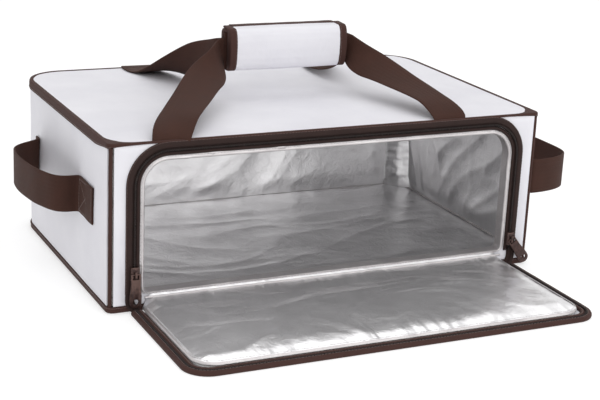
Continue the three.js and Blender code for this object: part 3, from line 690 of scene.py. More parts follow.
class Shade:
    """A material under construction."""

    def __init__(self, name: str, **constants: object) -> None:
        """Starts a material.

        Args:
            name: The material's name.
            constants: Shader sockets that are the same all over, with _ for a space.
        """
        self.material = bpy.data.materials.new(name)
        self.material.use_nodes = True
        self.tree = self.material.node_tree
        self.tree.nodes.clear()
        self.shader = self.node("ShaderNodeBsdfPrincipled")
        output = self.node("ShaderNodeOutputMaterial")
        self.tree.links.new(self.shader.outputs[0], output.inputs[0])
        for key, value in constants.items():
            self.shader.inputs[key.replace("_", " ")].default_value = value

    def node(self, kind: str, settings: dict | None = None, inputs: dict | None = None) -> Node:
        """Adds one node.

        Args:
            kind: The node's type.
            settings: Its own settings, or "stops" for the stops of a colour ramp.
            inputs: Values or wires for its sockets, by name or number.

        Returns:
            The node.
        """
        made = self.tree.nodes.new(kind)
        for key, value in (settings or {}).items():
            if key == "stops":
                for element, (place, colour) in zip(self._stops(made, len(value)), value):
                    element.position, element.color = place, colour
            else:
                setattr(made, key, value)
        for key, value in (inputs or {}).items():
            if isinstance(value, Wire):
                self.tree.links.new(value.socket, made.inputs[key])
            else:
                made.inputs[key].default_value = value
        return made

    @staticmethod
    def _stops(ramp: Node, count: int) -> list:
        """Stops of a ramp, with more added where it has too few.

        Args:
            ramp: The colour ramp.
            count: Number of stops that it needs.

        Returns:
            The stops.
        """
        while len(ramp.color_ramp.elements) < count:
            ramp.color_ramp.elements.new(1.0)
        return list(ramp.color_ramp.elements)

    def maths(self, operation: str, *values: Wire | float, held: bool = False) -> Wire:
        """A Math node on wires or numbers."""
        settings = {"operation": operation, "use_clamp": held}
        return Wire(self, self.node("ShaderNodeMath", settings, dict(enumerate(values))).outputs[0])

    def place(self) -> Wire:
        """Object coordinates, in metres."""
        return Wire(self, self.node("ShaderNodeTexCoord").outputs["Object"])

    def cloth(self) -> tuple[Wire, Wire]:
        """Distance along and across the cloth, in metres.

        Returns:
            The two distances.
        """
        made = self.node("ShaderNodeUVMap", {"uv_map": "weave"})
        parts = self.node("ShaderNodeSeparateXYZ", None, {0: Wire(self, made.outputs[0])})
        return Wire(self, parts.outputs[0]), Wire(self, parts.outputs[1])

    def noise(self, at: Wire, size: float, detail: float = 2.0, warp: float = 0.0) -> Wire:
        """Cloudy noise whose clouds are about that size, from 0 to 1."""
        inputs = {"Vector": at, "Scale": 1 / size, "Detail": detail, "Distortion": warp}
        return Wire(self, self.node("ShaderNodeTexNoise", None, inputs).outputs["Fac"])

    def cells(self, at: Wire, size: float) -> Wire:
        """Distance to the middle of the nearest cell, with cells of that size all over."""
        made = self.node("ShaderNodeTexVoronoi", None, {"Vector": at, "Scale": 1 / size})
        return Wire(self, made.outputs["Distance"])

    def stretched(self, at: Wire, scale: Triple) -> Wire:
        """Coordinates scaled apart along the axes."""
        made = self.node("ShaderNodeMapping", None, {"Vector": at, "Scale": scale})
        return Wire(self, made.outputs[0])

    def blend(self, share: Wire, low: tuple, high: tuple) -> Wire:
        """A colour between two, by a share."""
        made = self.node("ShaderNodeMix", {"data_type": "RGBA"}, {0: share, 6: low, 7: high})
        return Wire(self, made.outputs[2])

    def feed(self, socket: str, value: Wire) -> None:
        """Links a wire to a socket of the shader."""
        self.tree.links.new(value.socket, self.shader.inputs[socket])

    def bump(self, *layers: tuple[Wire, float]) -> None:
        """Raises the surface.

        Args:
            layers: Heights from 0 to 1, each with its depth in metres.
        """
        below = None
        for height, depth in layers:
            inputs = {"Height": height, "Distance": depth, "Strength": 1.0}
            if below is not None:
                inputs["Normal"] = below
            below = Wire(self, self.node("ShaderNodeBump", None, inputs).outputs[0])
        self.feed("Normal", below)


# Finishes


@dataclass(frozen=True)
class CoatedCloth:
    """Coated outer cloth: near-white, with a fine weave under a matt coat."""

    light: tuple = tint(232, 231, 236)
    dark: tuple = tint(223, 222, 228)
    thread: float = 0.7 * MM
    cloud: float = 70 * MM

    def material(self) -> Material:
        """Builds the material.

        Returns:
            The material.
        """
        shade = Shade("coated_cloth", Roughness=0.6, Specular_IOR_Level=0.35)
        at = shade.place()
        clouds = shade.noise(at, self.cloud, 3)
        shade.feed("Base Color", shade.blend(clouds.within(0.3, 0.7), self.dark, self.light))
        shade.feed("Roughness", 0.52 + 0.14 * shade.noise(at, 9 * MM, 2))
        parts = shade.node("ShaderNodeSeparateXYZ", None, {0: at})
        waves = [(Wire(shade, parts.outputs[k]) / self.thread).wave() for k in range(3)]
        weave = waves[0] * waves[1] + waves[1] * waves[2] + waves[2] * waves[0]
        soft = shade.noise(at, 24 * MM, 3, 0.4)
        shade.bump((soft, 0.8 * MM), (weave.within(-1.5, 1.5), 0.035 * MM))
        return shade.material


@dataclass(frozen=True)
class Foil:
    """Foil-faced lining: satin metal, crazed by handling."""

    name: str = "foil_lining"
    colour: tuple = tint(234, 233, 234)
    worn: tuple = tint(222, 221, 222)
    metal: float = 0.9
    roughness: float = 0.34

    def material(self) -> Material:
        """Builds the material.

        Returns:
            The material.
        """
        shade = Shade(self.name, Metallic=self.metal)
        at = shade.place()
        clouds = shade.noise(at, 45 * MM, 4, 0.6)
        shade.feed("Base Color", shade.blend(clouds.within(0.35, 0.65), self.worn, self.colour))
        shade.feed("Roughness", self.roughness + 0.1 * (shade.noise(at, 12 * MM, 3) - 0.5))
        wide = shade.noise(at, 26 * MM, 2, 0.8)
        crease = 1 - (shade.noise(at, 13 * MM, 2, 1.2) * 2 - 1).size()
        fine = shade.noise(at, 1.6 * MM, 2)
        shade.bump((wide, 0.6 * MM), (crease**4, 0.12 * MM), (fine, 0.02 * MM))
        return shade.material


@dataclass(frozen=True)
class Webbing:
    """Woven strap: ribs that run across it in herringbone columns."""

    name: str = "brown_webbing"
    light: tuple = tint(76, 49, 41)
    dark: tuple = tint(51, 32, 26)
    rib: float = 1.3 * MM
    column: float = 2.4 * MM
    slant: float = 0.55
    depth: float = 0.16 * MM
    roughness: float = 0.72

    def material(self) -> Material:
        """Builds the material.

        Returns:
            The material.
        """
        shade = Shade(self.name, Sheen_Weight=0.03, Sheen_Roughness=0.5, Specular_IOR_Level=0.14)
        along, across = shade.cloth()
        at = shade.place()
        slanted = along / self.rib + across.zigzag(self.column) * (self.slant / self.rib)
        ribs = slanted.wave() * 0.5 + 0.5
        columns = (across / self.column).wave().size()
        weave = ribs * (0.55 + 0.45 * columns)
        clouds = shade.noise(at, 18 * MM, 4)
        share = (weave * 0.6 + clouds * 0.5).within(0.15, 0.95)
        shade.feed("Base Color", shade.blend(share, self.dark, self.light))
        shade.feed("Roughness", self.roughness + 0.15 * (clouds - 0.5))
        fuzz = shade.noise(at, 0.5 * MM, 2)
        shade.bump((weave, self.depth), (fuzz, 0.03 * MM))
        return shade.material


@dataclass(frozen=True)
class PaintedMetal:
    """Brown enamel on die-cast metal, rubbed bright where hands wear it."""

    paint: tuple = tint(74, 52, 48)
    deep: tuple = tint(52, 36, 33)
    bare: tuple = tint(128, 108, 101)

    def material(self) -> Material:
        """Builds the material.

        Returns:
            The material.
        """
        shade = Shade("painted_metal", Coat_Roughness=0.2)
        at = shade.place()
        clouds = shade.noise(at, 3 * MM, 3)
        pointed = Wire(shade, shade.node("ShaderNodeNewGeometry").outputs["Pointiness"])
        rubbed = (pointed * (0.8 + 0.4 * clouds)).within(0.53, 0.62)
        paint = shade.blend(clouds.within(0.3, 0.7), self.deep, self.paint)
        shade.feed("Base Color", shade.blend(rubbed * 0.4, paint, self.bare))
        shade.feed("Metallic", 0.45 + 0.5 * rubbed)
        shade.feed("Roughness", 0.36 + 0.12 * (clouds - 0.5))
        shade.bump((shade.noise(at, 0.7 * MM, 3), 0.02 * MM))
        return shade.material


class Pattern(Enum):
    """Kinds of fine pattern."""

    NOISE = "clouds"
    CELLS = "low in the middle of each cell"
    TUFTS = "high in the middle of each cell"


@dataclass(frozen=True)
class Grain:
    """A stuff whose colour, roughness and relief follow one fine pattern.

    Attributes:
        name: The material's name.
        light: Colour where the pattern is high.
        dark: Colour where it is low.
        size: Size of the pattern.
        span: Values of the pattern between which the colour changes.
        rough: Roughness without the pattern, and what the pattern adds.
        depth: Depth of the pattern in the surface.
        relief: Size and depth of the plain noises in the surface.
        kind: Kind of pattern.
        detail: Detail of a noise.
        stretch: Scale of the pattern along the axes.
        sheen: Weight of the sheen.
        shine: Level of the mirror light.
    """

    name: str
    light: tuple
    dark: tuple
    size: float
    span: Pair = (0.3, 0.7)
    rough: Pair = (0.5, 0.2)
    depth: float = 0.0
    relief: tuple[Pair, ...] = ()
    kind: Pattern = Pattern.NOISE
    detail: float = 2.0
    stretch: Triple = (1, 1, 1)
    sheen: float = 0.0
    shine: float = 0.3

    def material(self) -> Material:
        """Builds the material.

        Returns:
            The material.
        """
        shade = Shade(self.name, Sheen_Weight=self.sheen, Specular_IOR_Level=self.shine)
        at = shade.place()
        spread = shade.stretched(at, self.stretch)
        noise = self.kind is Pattern.NOISE
        grain = shade.noise(spread, self.size, self.detail) if noise else shade.cells(spread, self.size)
        grain = 1 - grain if self.kind is Pattern.TUFTS else grain
        shade.feed("Base Color", shade.blend(grain.within(*self.span), self.dark, self.light))
        shade.feed("Roughness", self.rough[0] + self.rough[1] * grain)
        layers = [(grain, self.depth)] if self.depth else []
        shade.bump(*layers, *((shade.noise(at, size), depth) for size, depth in self.relief))
        return shade.material


def thread(name: str, light: tuple, dark: tuple) -> Grain:
    """Twisted sewing thread."""
    return Grain(name, light, dark, 0.45 * MM, depth=0.05 * MM, stretch=(1, 1, 0.4), sheen=0.3, shine=0.4)


COIL_PLASTIC = Grain(
    "coil_plastic", tint(44, 33, 31), tint(22, 16, 15), 2.2 * MM, relief=((0.4 * MM, 0.02 * MM),)
)
FOAM_SHEET = Grain(
    "foam_sheet", tint(243, 243, 240), tint(226, 226, 222), 1.6 * MM, (0.1, 0.7), (0.85, 0.1),
    0.25 * MM, ((20 * MM, 0.3 * MM),), Pattern.CELLS, shine=0.2,
)
PRESSED_BOARD = Grain(
    "pressed_board", tint(74, 74, 77), tint(52, 52, 55), 1.8 * MM, rough=(0.6, 0.2), depth=0.08 * MM,
    detail=4.0, stretch=(1, 0.25, 1),
)
HOOK_LOOP = Grain(
    "hook_and_loop", tint(64, 52, 49), tint(30, 24, 23), 0.9 * MM, (0.3, 0.9), (0.8, 0.15), 0.3 * MM,
    kind=Pattern.TUFTS, sheen=0.5, shine=0.2,
)


class Finish(Enum):
    """The finishes that pieces are dressed in, each with the record's slot that it belongs to."""

    CLOTH = ("outer_fabric", CoatedCloth())
    WEBBING = ("brown_webbing", Webbing())
    BINDING = (
        "brown_binding",
        Webbing("brown_binding", tint(80, 55, 50), tint(57, 38, 34), 0.9 * MM, 1.5 * MM, 0.0, 0.1 * MM),
    )
    TAPE = (
        "zip_tape",
        Webbing("zip_tape", tint(62, 46, 43), tint(38, 28, 26), 0.8 * MM, 1.6 * MM, 0.7, 0.09 * MM),
    )
    COIL = ("zip_coil", COIL_PLASTIC)
    METAL = ("zip_metal", PaintedMetal())
    FOIL = ("foil_lining", Foil())
    TRIM = ("foil_lining", Foil("foil_trim", tint(205, 201, 201), tint(184, 179, 180), 0.75, 0.4))
    FOAM = ("foam", FOAM_SHEET)
    BOARD = ("board", PRESSED_BOARD)
    HOOK = ("hook_and_loop", HOOK_LOOP)
    BROWN_THREAD = ("brown_binding", thread("brown_thread", tint(104, 79, 73), tint(70, 51, 47)))
    PALE_THREAD = ("foil_lining", thread("pale_thread", tint(236, 234, 234), tint(196, 193, 195)))

    @property
    def slot(self) -> str:
        """The record's material slot."""
        return self.value[0]

    @property
    def material(self) -> Material:
        """The material, built the first time that it is asked for.

        Returns:
            The material.
        """
        made = bpy.data.materials.get(self.name.lower() + "_finish")
        if made is None:
            made = self.value[1].material()
            made.name = self.name.lower() + "_finish"
        return made


def dress(piece: Object, finish: Finish, body: str, *nodes: str) -> Object:
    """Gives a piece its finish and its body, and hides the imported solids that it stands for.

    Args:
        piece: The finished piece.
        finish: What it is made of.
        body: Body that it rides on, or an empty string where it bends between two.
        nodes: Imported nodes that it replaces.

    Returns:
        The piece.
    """
    piece.data.materials.clear()
    piece.data.materials.append(finish.material)
    if body:
        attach(piece, body)
    if nodes:
        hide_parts(*nodes)
    log.info("%s: %d faces, %s", piece.name, len(piece.data.polygons), body or "bends")
    return piece


def corners(node: str) -> tuple[Array, Array]:
    """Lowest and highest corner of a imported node."""
    low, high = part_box(node)
    return np.array(low), np.array(high)


# Places of the body that several pieces share

FLOOR_PLAN = Plane((0, 0, 0), (1, 0, 0), (0, 1, 0), (0, 0, 1))
DOOR_PLAN = Plane((0, 0, 0), (1, 0, 0), (0, -1, 0), (0, 0, 1))
SIDES = ((-1, "left"), (1, "right"))
PANEL_RADII = (12 * MM, 12 * MM, 43 * MM, 43 * MM)


def upright(y: float, facing: int) -> Plane:
    """Upright plane across the body that faces forward (-1) or back (1)."""
    return Plane((0, y, 0), (1, 0, 0), (0, 0, 1), (0, facing, 0))


@dataclass(frozen=True)
class BodyForm:
    """Outline of the soft body, and how far its faces swell.

    Attributes:
        half: Half of its width.
        front: Front face, along Y.
        back: Back face, along Y.
        height: Top face.
        back_radius: Radius of the two back corners, seen from above.
        front_radius: Radius of the two front corners.
        swell: How far the middle of a wall stands out.
        crown: How far the middle of the top stands up.
    """

    half: float = 240 * MM
    front: float = -158 * MM
    back: float = 158 * MM
    height: float = 170 * MM
    back_radius: float = 45 * MM
    front_radius: float = 6 * MM
    swell: float = 0.9 * MM
    crown: float = 2.6 * MM
    ripple: Ripple = field(default_factory=lambda: Ripple(11))

    def plan_corners(self) -> list[Pair]:
        """Corners of the outline, clockwise from the front left."""
        half, front, back = self.half, self.front, self.back
        return [(-half, front), (-half, back), (half, back), (half, front)]

    def wall_rise(self, x: Array, y: Array, z: Array) -> Array:
        """How far a wall stands out at a point of its flat form.

        Args:
            x: Place along X.
            y: Place along Y.
            z: Place along Z.

        Returns:
            The distance outwards.
        """
        level = np.sin(math.pi * np.clip(z / self.height, 0, 1)) ** 0.7
        side = smooth((y - self.front) / (50 * MM)) * smooth((self.back - y) / (75 * MM))
        rear = smooth((self.half - np.abs(x)) / (75 * MM))
        spread = np.clip(side + rear, 0, 1)
        soft = self.ripple.at((x + y) / (105 * MM), z / (80 * MM))
        fine = self.ripple.at((x - y) / (42 * MM) + 7, z / (36 * MM))
        return level * (self.swell * spread + (0.9 * soft + 0.4 * fine) * MM * (0.3 + 0.7 * spread))

    def top_rise(self, x: Array, y: Array) -> Array:
        """How far the top stands up at a point of its flat form.

        Args:
            x: Place along X.
            y: Place along Y.

        Returns:
            The height above the flat form.
        """
        edge = np.minimum(self.half - np.abs(x), self.back - np.abs(y))
        spread = smooth(edge / (62 * MM))
        soft = self.ripple.at(x / (120 * MM) + 3, y / (85 * MM) + 5)
        fine = self.ripple.at(x / (50 * MM), y / (34 * MM) + 9)
        return spread * self.crown + smooth(edge / (25 * MM)) * (0.9 * soft + 0.3 * fine) * MM


BODY = BodyForm()


class Stitching:
    """The two sewing forms that every sub-assembly uses."""

    def __init__(self) -> None:
        """Models one stitch and one zip tooth."""
        self.stitch = Thread("stitch", stitch_form)
        self.tooth = Thread("tooth", tooth_form)

    def seam(self, name: str, line: Array, up: Array, finish: Finish, body: str) -> Object:
        """A row of stitches along a line in space."""
        return dress(self.stitch.along(name, line, up, 3.4 * MM), finish, body)

    def on(self, name: str, plane: Plane, points: Array, level: float, finish: Finish, body: str) -> Object:
        """A row of stitches along points of a plane, at a height above it."""
        return self.seam(name, plane.place(*points.T, level), np.array(plane.up), finish, body)


SEWING = Stitching()


# Outer cloth and the foam behind it


@dataclass
class Shell:
    """Outer cloth, base board and foam of the body."""

    cloth: float = 1.4 * MM
    step: float = 4 * MM
    pad_round: float = 2.5 * MM
    tuck: float = 6 * MM

    def build(self) -> None:
        """Builds and dresses all the shell's pieces."""
        self.wall()
        self.top()
        self.base()
        self.pads()
        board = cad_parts["base_board"]
        board.data.materials.clear()
        board.data.materials.append(Finish.BOARD.material)

    def wall(self) -> None:
        """One strip of cloth round the left, back and right of the body."""
        low, high = corners("wall_panel")
        outline = [(x, max(y, low[1])) for x, y in BODY.plan_corners()]
        track = Track.through(outline, (0, BODY.back_radius, BODY.back_radius, 0), self.step)
        top = high[2] + self.tuck
        levels = np.linspace(low[2], top, int((top - low[2]) / self.step))
        x, z = np.meshgrid(track.points[:, 0], levels, indexing="ij")
        along, _ = np.meshgrid(track.along, levels, indexing="ij")
        y = np.broadcast_to(track.points[:, 1:], x.shape)
        out = spots(*track.outward.T, 0)[:, None]
        base = spots(x, y, z)
        front = base + out * BODY.wall_rise(x, y, z)[..., None]
        wall = closed_sheet("wall_cover", front, front - out * self.cloth, np.stack([along, z], axis=-1))
        dress(wall, Finish.CLOTH, "bag", "wall_panel")

    def top(self) -> None:
        """Cloth of the top, lightly crowned."""
        low, high = corners("top_panel")
        grid = PanelGrid(low[:2], high[:2], PANEL_RADII, self.step)
        rise = high[2] + BODY.top_rise(grid.a, grid.b)
        top = panel("top_cover", FLOOR_PLAN, grid, rise, rise - self.cloth)
        dress(top, Finish.CLOTH, "bag", "top_panel")

    def base(self) -> None:
        """Cloth of the underside, with shallow dents where the board bears on it."""
        low, high = corners("bottom_panel")
        grid = PanelGrid(low[:2], high[:2], PANEL_RADII, 8 * MM)
        dent = smooth(grid.edge / (30 * MM)) * (0.2 + 0.2 * BODY.ripple.at(grid.a * 12, grid.b * 12)) * MM
        base = panel("base_cover", FLOOR_PLAN, grid, low[2] + dent, high[2])
        dress(base, Finish.CLOTH, "bag", "bottom_panel")

    def pads(self) -> None:
        """Foam behind the cloth, with rounded edges."""
        for name in ("left", "right", "back", "top", "bottom"):
            low, high = corners(f"{name}_foam")
            thin = int(np.argmin(high - low))
            a, b = [k for k in range(3) if k != thin]
            rounds = PANEL_RADII if thin == 2 else (3 * MM,) * 4
            grid = PanelGrid((low[a], low[b]), (high[a], high[b]), rounds, 9 * MM)
            ease = 1 - np.clip(grid.edge / self.pad_round, 0, 1)
            inset = self.pad_round * (1 - np.sqrt(1 - ease**2 * 0.75))
            faces = []
            for level in (high[thin] - inset, low[thin] + inset):
                points = np.zeros((*grid.a.shape, 3))
                points[..., a], points[..., b], points[..., thin] = grid.a, grid.b, level
                faces.append(points)
            pad = closed_sheet(f"{name}_pad", *faces)
            dress(pad, Finish.FOAM, "bag", f"{name}_foam")


# Front of the body


@dataclass
class MouthFront:
    """White border of the mouth, its foam, and the pale binding round the opening."""

    cloth: float = 1.4 * MM
    puff: float = 2.4 * MM
    step: float = 3 * MM
    opening_half: float = 204.2 * MM
    opening_top: float = 150.8 * MM
    opening_low: float = 19.4 * MM
    opening_radius: float = 24 * MM
    sill_radius: float = 4 * MM
    trim_width: float = 5.1 * MM
    trim_depth: float = 10.4 * MM
    sill_width: float = 3 * MM
    ring_reach: float = 60 * MM
    mean_width: float = 22 * MM
    plane: Plane = upright(BODY.front, -1)

    def build(self) -> None:
        """Builds the border, its foam, the binding and its stitches."""
        self.border()
        self.pad()
        self.trim()

    def opening(self, step: float) -> Track:
        """Track round the clear opening, clockwise from its low left corner.

        Args:
            step: Distance between its points.

        Returns:
            The track.
        """
        half, top, low = self.opening_half, self.opening_top, self.opening_low
        corners_round = [(-half, low), (-half, top), (half, top), (half, low)]
        radii = [self.sill_radius, self.opening_radius, self.opening_radius, self.sill_radius]
        return Track.through(corners_round, radii, step, closed=True)

    def ring(self, margin: float, low: Pair, high: Pair, rows: int) -> tuple:
        """Points between the opening and an outer rectangle.

        Args:
            margin: Distance from the clear opening to the ring's inner edge.
            low: Lowest corner of the rectangle.
            high: Highest corner.
            rows: Number of points from one to the other.

        Returns:
            The two coordinates and the share of the way outwards.
        """
        inner = self.opening(self.step).shifted(margin)
        outer = np.clip(inner.points + inner.outward * self.ring_reach, low, high)
        share = np.linspace(0, 1, rows)[None, :, None]
        points = inner.points[:, None] * (1 - share) + outer[:, None] * share
        return points[..., 0], points[..., 1], np.broadcast_to(share[..., 0], points.shape[:2])

    def border(self) -> None:
        """Cloth border that swells between the zip and the piping."""
        low, high = corners("front_border")
        a, b, share = self.ring(1.5 * MM, (low[0], low[2]), (high[0], high[2]), 13)
        width = np.hypot(a[:, -1] - a[:, 0], b[:, -1] - b[:, 0])[:, None]
        zip_share = np.clip((20 * MM) / np.maximum(width, 1 * MM), 0, 0.95)
        swell = np.sin(math.pi * np.clip((share - zip_share) / (1 - zip_share), 0, 1))
        soft = BODY.ripple.at(a / (60 * MM) + 4, b / (40 * MM))
        size = self.puff * np.clip(width / (26 * MM) - 0.75, 0, 1)
        rise = size * swell * (1 + 0.35 * soft)
        front, back = (self.plane.place(a, b, rise - depth) for depth in (0, self.cloth))
        border = closed_sheet("mouth_border", front, back, np.stack([a, b], axis=-1), ring=True)
        dress(border, Finish.CLOTH, "bag", "front_border")
        flat = (float(self.opening(self.step).along[-1]), self.mean_width)

    def pad(self) -> None:
        """Foam ring behind the border."""
        low, high = corners("front_foam")
        a, b, share = self.ring(1.8 * MM, (low[0], low[2]), (high[0], high[2]), 6)
        ease = np.abs(2 * share - 1) ** 6 * 0.8 * MM
        plane = upright(low[1], -1)
        front, back = plane.place(a, b, -ease), plane.place(a, b, low[1] - high[1] + ease)
        pad = closed_sheet("border_pad", front, back, ring=True)
        dress(pad, Finish.FOAM, "bag", "front_foam")

    def trim(self) -> None:
        """Pale binding: a flange on the front and a fold that turns into the mouth."""
        track = self.opening(2 * MM)
        low = smooth((-track.outward[:, 1] - 0.3) / 0.6)
        width = self.trim_width + (self.sill_width - self.trim_width) * low
        ripple = Ripple(5)
        pucker = 0.35 * MM * ripple.at(track.along / (4.6 * MM), 0.0)
        wide = 0.5 * MM * ripple.at(track.along / (23 * MM), 3.3)
        rows = [
            (0, -self.trim_depth), (0, -2 * MM), (0.1 * MM, 0.5 * MM),
            (0.10 * width, 1.5 * MM + 0.5 * pucker), (0.30 * width, 2.3 * MM + pucker),
            (0.55 * width, 2.1 * MM + pucker + 0.5 * wide), (0.72 * width, 1.2 * MM + 0.3 * pucker),
            (0.80 * width, 1.5 * MM + 0.6 * pucker),
            (0.97 * width + 0.3 * wide, 1.0 * MM + 0.4 * pucker), (width + 0.3 * wide, 0.3 * MM),
            (0.3 * width, 0.3 * MM), (1.2 * MM, -1.5 * MM), (1.2 * MM, -self.trim_depth),
        ]
        trim = sweep_on("mouth_trim", self.plane, track, 0.0, varied(rows, len(width)))
        dress(trim, Finish.TRIM, "bag", "mouth_binding")
        line = track.points + track.outward * (0.74 * width)[:, None]
        SEWING.on("mouth_trim_stitches", self.plane, line, 1.45 * MM, Finish.PALE_THREAD, "bag")


# Bound edges


@dataclass
class EdgeTrim:
    """Brown binding on the top and bottom edges, and the piping down the front corners."""

    proud: float = 1.3 * MM
    wrap: float = 3.4 * MM
    top_drop: float = 9 * MM
    corner_drop: float = 4.4 * MM
    front_drop: float = 1.7 * MM
    corner: float = 30 * MM
    taper: float = 44 * MM
    step: float = 3 * MM
    piping_radius: float = 2.0 * MM
    piping_tuck: float = 8 * MM

    def build(self) -> None:
        """Builds the bindings, their stitches and the piping."""
        self.top()
        self.bottom()
        for side, name in SIDES:
            self.piping(side, name)

    def outline(self) -> Track:
        """Track round the body's edge, seen from above."""
        radii = [BODY.front_radius, BODY.back_radius, BODY.back_radius, BODY.front_radius]
        return Track.through(BODY.plan_corners(), radii, self.step, closed=True)

    def top(self) -> None:
        """Binding that wraps the top edge and thins to a line along the front."""
        track = self.outline()
        x, y = track.points.T
        inward, deep = BODY.half - np.abs(x), y - BODY.front
        on_front = deep < 2 * MM
        taper = 1 - np.clip(inward / self.taper, 0, 1)
        crescent = 1 - np.sqrt(1 - taper**2)
        fall = self.corner_drop + (self.top_drop - self.corner_drop) * smooth(deep / self.taper)
        drop = np.where(on_front, self.front_drop + (self.corner_drop - self.front_drop) * crescent, fall)
        wrap = self.wrap * np.where(on_front, 0.45 + 0.55 * crescent, 1.0)
        centre = np.stack([np.sign(x) * (BODY.half - self.corner), 0 * x + BODY.front + self.corner], axis=-1)
        spoke = track.points - centre
        length = np.linalg.norm(spoke, axis=1)
        near = (inward < self.corner) & (deep < self.corner)
        track.outward[near] = (spoke / length[:, None])[near]
        wrap = np.where(near, length - self.corner + wrap, wrap)
        wave = 0.25 * MM * Ripple(21).at(track.along / (17 * MM), 0.0)
        top = BODY.height
        rise = 0.55 * MM
        rows = [
            (0.05 * MM, -drop), (self.proud * 0.8 + wave * 0.3, -drop + 0.05 * MM),
            (self.proud + wave, -drop * 0.75), (self.proud + wave * 0.6, -drop * 0.35),
            (self.proud * 0.92, -drop * 0.12), (self.proud * 0.45, rise * 0.8),
            (-wrap * 0.25, rise * 1.25), (-wrap * 0.8, rise * 1.1 + wave * 0.3), (-wrap, rise * 0.5),
            (-wrap, 0.05 * MM), (-0.6 * MM, -0.1 * MM), (-0.3 * MM, -drop * 0.5),
        ]
        profile = varied(rows, len(x))
        binding = sweep_on("top_binding_tape", FLOOR_PLAN, track, top, profile)
        dress(binding, Finish.BINDING, "bag", "top_binding")
        keep = ~(on_front & (inward > 6 * MM))
        start = int(np.argmax(keep & ~np.roll(keep, 1)))
        order = (np.arange(len(x) - 1) + start) % (len(x) - 1)
        order = order[keep[order]]
        line = track.points[order] + track.outward[order] * (self.proud + 0.12 * MM)
        seam = FLOOR_PLAN.place(*line.T, top - 0.78 * drop[order])
        out = FLOOR_PLAN.turn(track.outward[order])
        SEWING.seam("top_binding_stitches", seam, out, Finish.BROWN_THREAD, "bag")

    def bottom(self) -> None:
        """Binding round the bottom edge."""
        low, high = corners("bottom_binding")
        track = self.outline()
        wave = 0.2 * MM * Ripple(22).at(track.along / (19 * MM), 1.0)
        tall, proud = high[2] - low[2], self.proud
        rows = [
            (-1.2 * MM, 0), (proud * 0.4, 0), (proud * 0.95, tall * 0.12), (proud + wave, tall * 0.45),
            (proud * 0.95 + wave, tall * 0.85), (proud * 0.7, tall), (0.05 * MM, tall),
            (-0.3 * MM, tall * 0.6),
        ]
        profile = varied(rows, len(wave))
        binding = sweep_on("bottom_binding_tape", FLOOR_PLAN, track, low[2], profile)
        dress(binding, Finish.BINDING, "bag", "bottom_binding")
        line = track.points + track.outward * (proud + 0.1 * MM)
        seam = FLOOR_PLAN.place(*line.T, low[2] + tall * 0.8)
        out = FLOOR_PLAN.turn(track.outward)
        SEWING.seam("bottom_binding_stitches", seam, out, Finish.BROWN_THREAD, "bag")

    def piping(self, side: int, name: str) -> None:
        """Cloth-covered cord down a front corner, a little uneven as sewn piping is.

        Args:
            side: -1 on the left, 1 on the right.
            name: The side's name.
        """
        low, high = corners(f"front_piping_{name}")
        middle = (low + high) / 2
        levels = np.arange(low[2], high[2] + self.piping_tuck, self.step)
        ripple = Ripple(30 + side)
        sway = 0.3 * MM * ripple.at(levels / (30 * MM), 0.0)
        centre = spots(middle[0] + sway, middle[1], levels)
        radius = self.piping_radius * (1 + 0.05 * ripple.at(levels / (9 * MM), 1.0))
        profile = round_profile(1.0, 14)[None] * radius[:, None, None]
        cord = sweep(f"{name}_piping", centre, RIGHT, -BACK, profile)
        dress(cord, Finish.BINDING, "bag", f"front_piping_{name}")


# Foil lining


@dataclass(frozen=True)
class Folds:
    """Folds of a foil sheet.

    Attributes:
        seed: Seed of the noise.
        angle: Direction that the long folds run in, in degrees.
        short: Distance from one fold to the next.
        long: Length of a fold.
        height: Height of the long folds.
        gather: Height of the short gathers at the sewn edges.
        pitch: Distance between gathers.
        reach: How far gathers run in from the edge.
        fine: Height of the small creases.
    """

    seed: int
    angle: float
    short: float
    long: float
    height: float
    gather: float
    pitch: float
    reach: float
    fine: float

    @staticmethod
    def in_mm(seed: int, angle: float, *lengths: float) -> "Folds":
        """Folds whose lengths are given in millimetres, in the order of the attributes."""
        return Folds(seed, angle, *(length * MM for length in lengths))

    def rise(self, a: Array, b: Array, sides: tuple[Array, Array, Array, Array]) -> Array:
        """Height of the sheet above its frame.

        Args:
            a: First coordinate.
            b: Second coordinate.
            sides: Distance to each of the four edges.

        Returns:
            The height.
        """
        ripple = Ripple(self.seed)
        turn = math.radians(self.angle)
        bend = ripple.at(a / (130 * MM) + 2, b / (130 * MM) + 6)
        along = (a * math.cos(turn) + b * math.sin(turn)) / self.long
        across = (-a * math.sin(turn) + b * math.cos(turn)) / self.short + 1.1 * bend
        broad = ripple.ridges(along, across, 1.6)
        second = ripple.ridges(along * 1.7 + 5 + 0.4 * across, across * 0.8 + 3, 2.4)
        soft = ripple.at(a / (70 * MM) + 11, b / (60 * MM) + 4) * 0.5 + 0.5
        edge = np.minimum.reduce(sides)
        inner = smooth(edge / (22 * MM))
        height = inner * self.height * (0.55 * broad * (0.35 + soft) + 0.35 * second + 0.35 * soft)
        tiny = ripple.at(a / (11 * MM) + broad, b / (9 * MM) + 8)
        height = height + inner * self.fine * tiny
        rim = smooth(edge / (2.5 * MM))
        for k, side in enumerate(sides):
            run = b if k < 2 else a
            wander = run / self.pitch + 0.5 * ripple.at(a / (24 * MM) + k, b / (24 * MM) + 2)
            strength = 0.5 + 0.5 * ripple.at(run / (37 * MM) + 3 * k, 1.5 + k)
            reach = self.reach * (0.6 + 0.7 * strength)
            crest = ripple.ridges(wander, 2.5 + 3 * k, 1.3)
            height = height + rim * self.gather * strength * crest * np.exp(-side / reach)
        return height


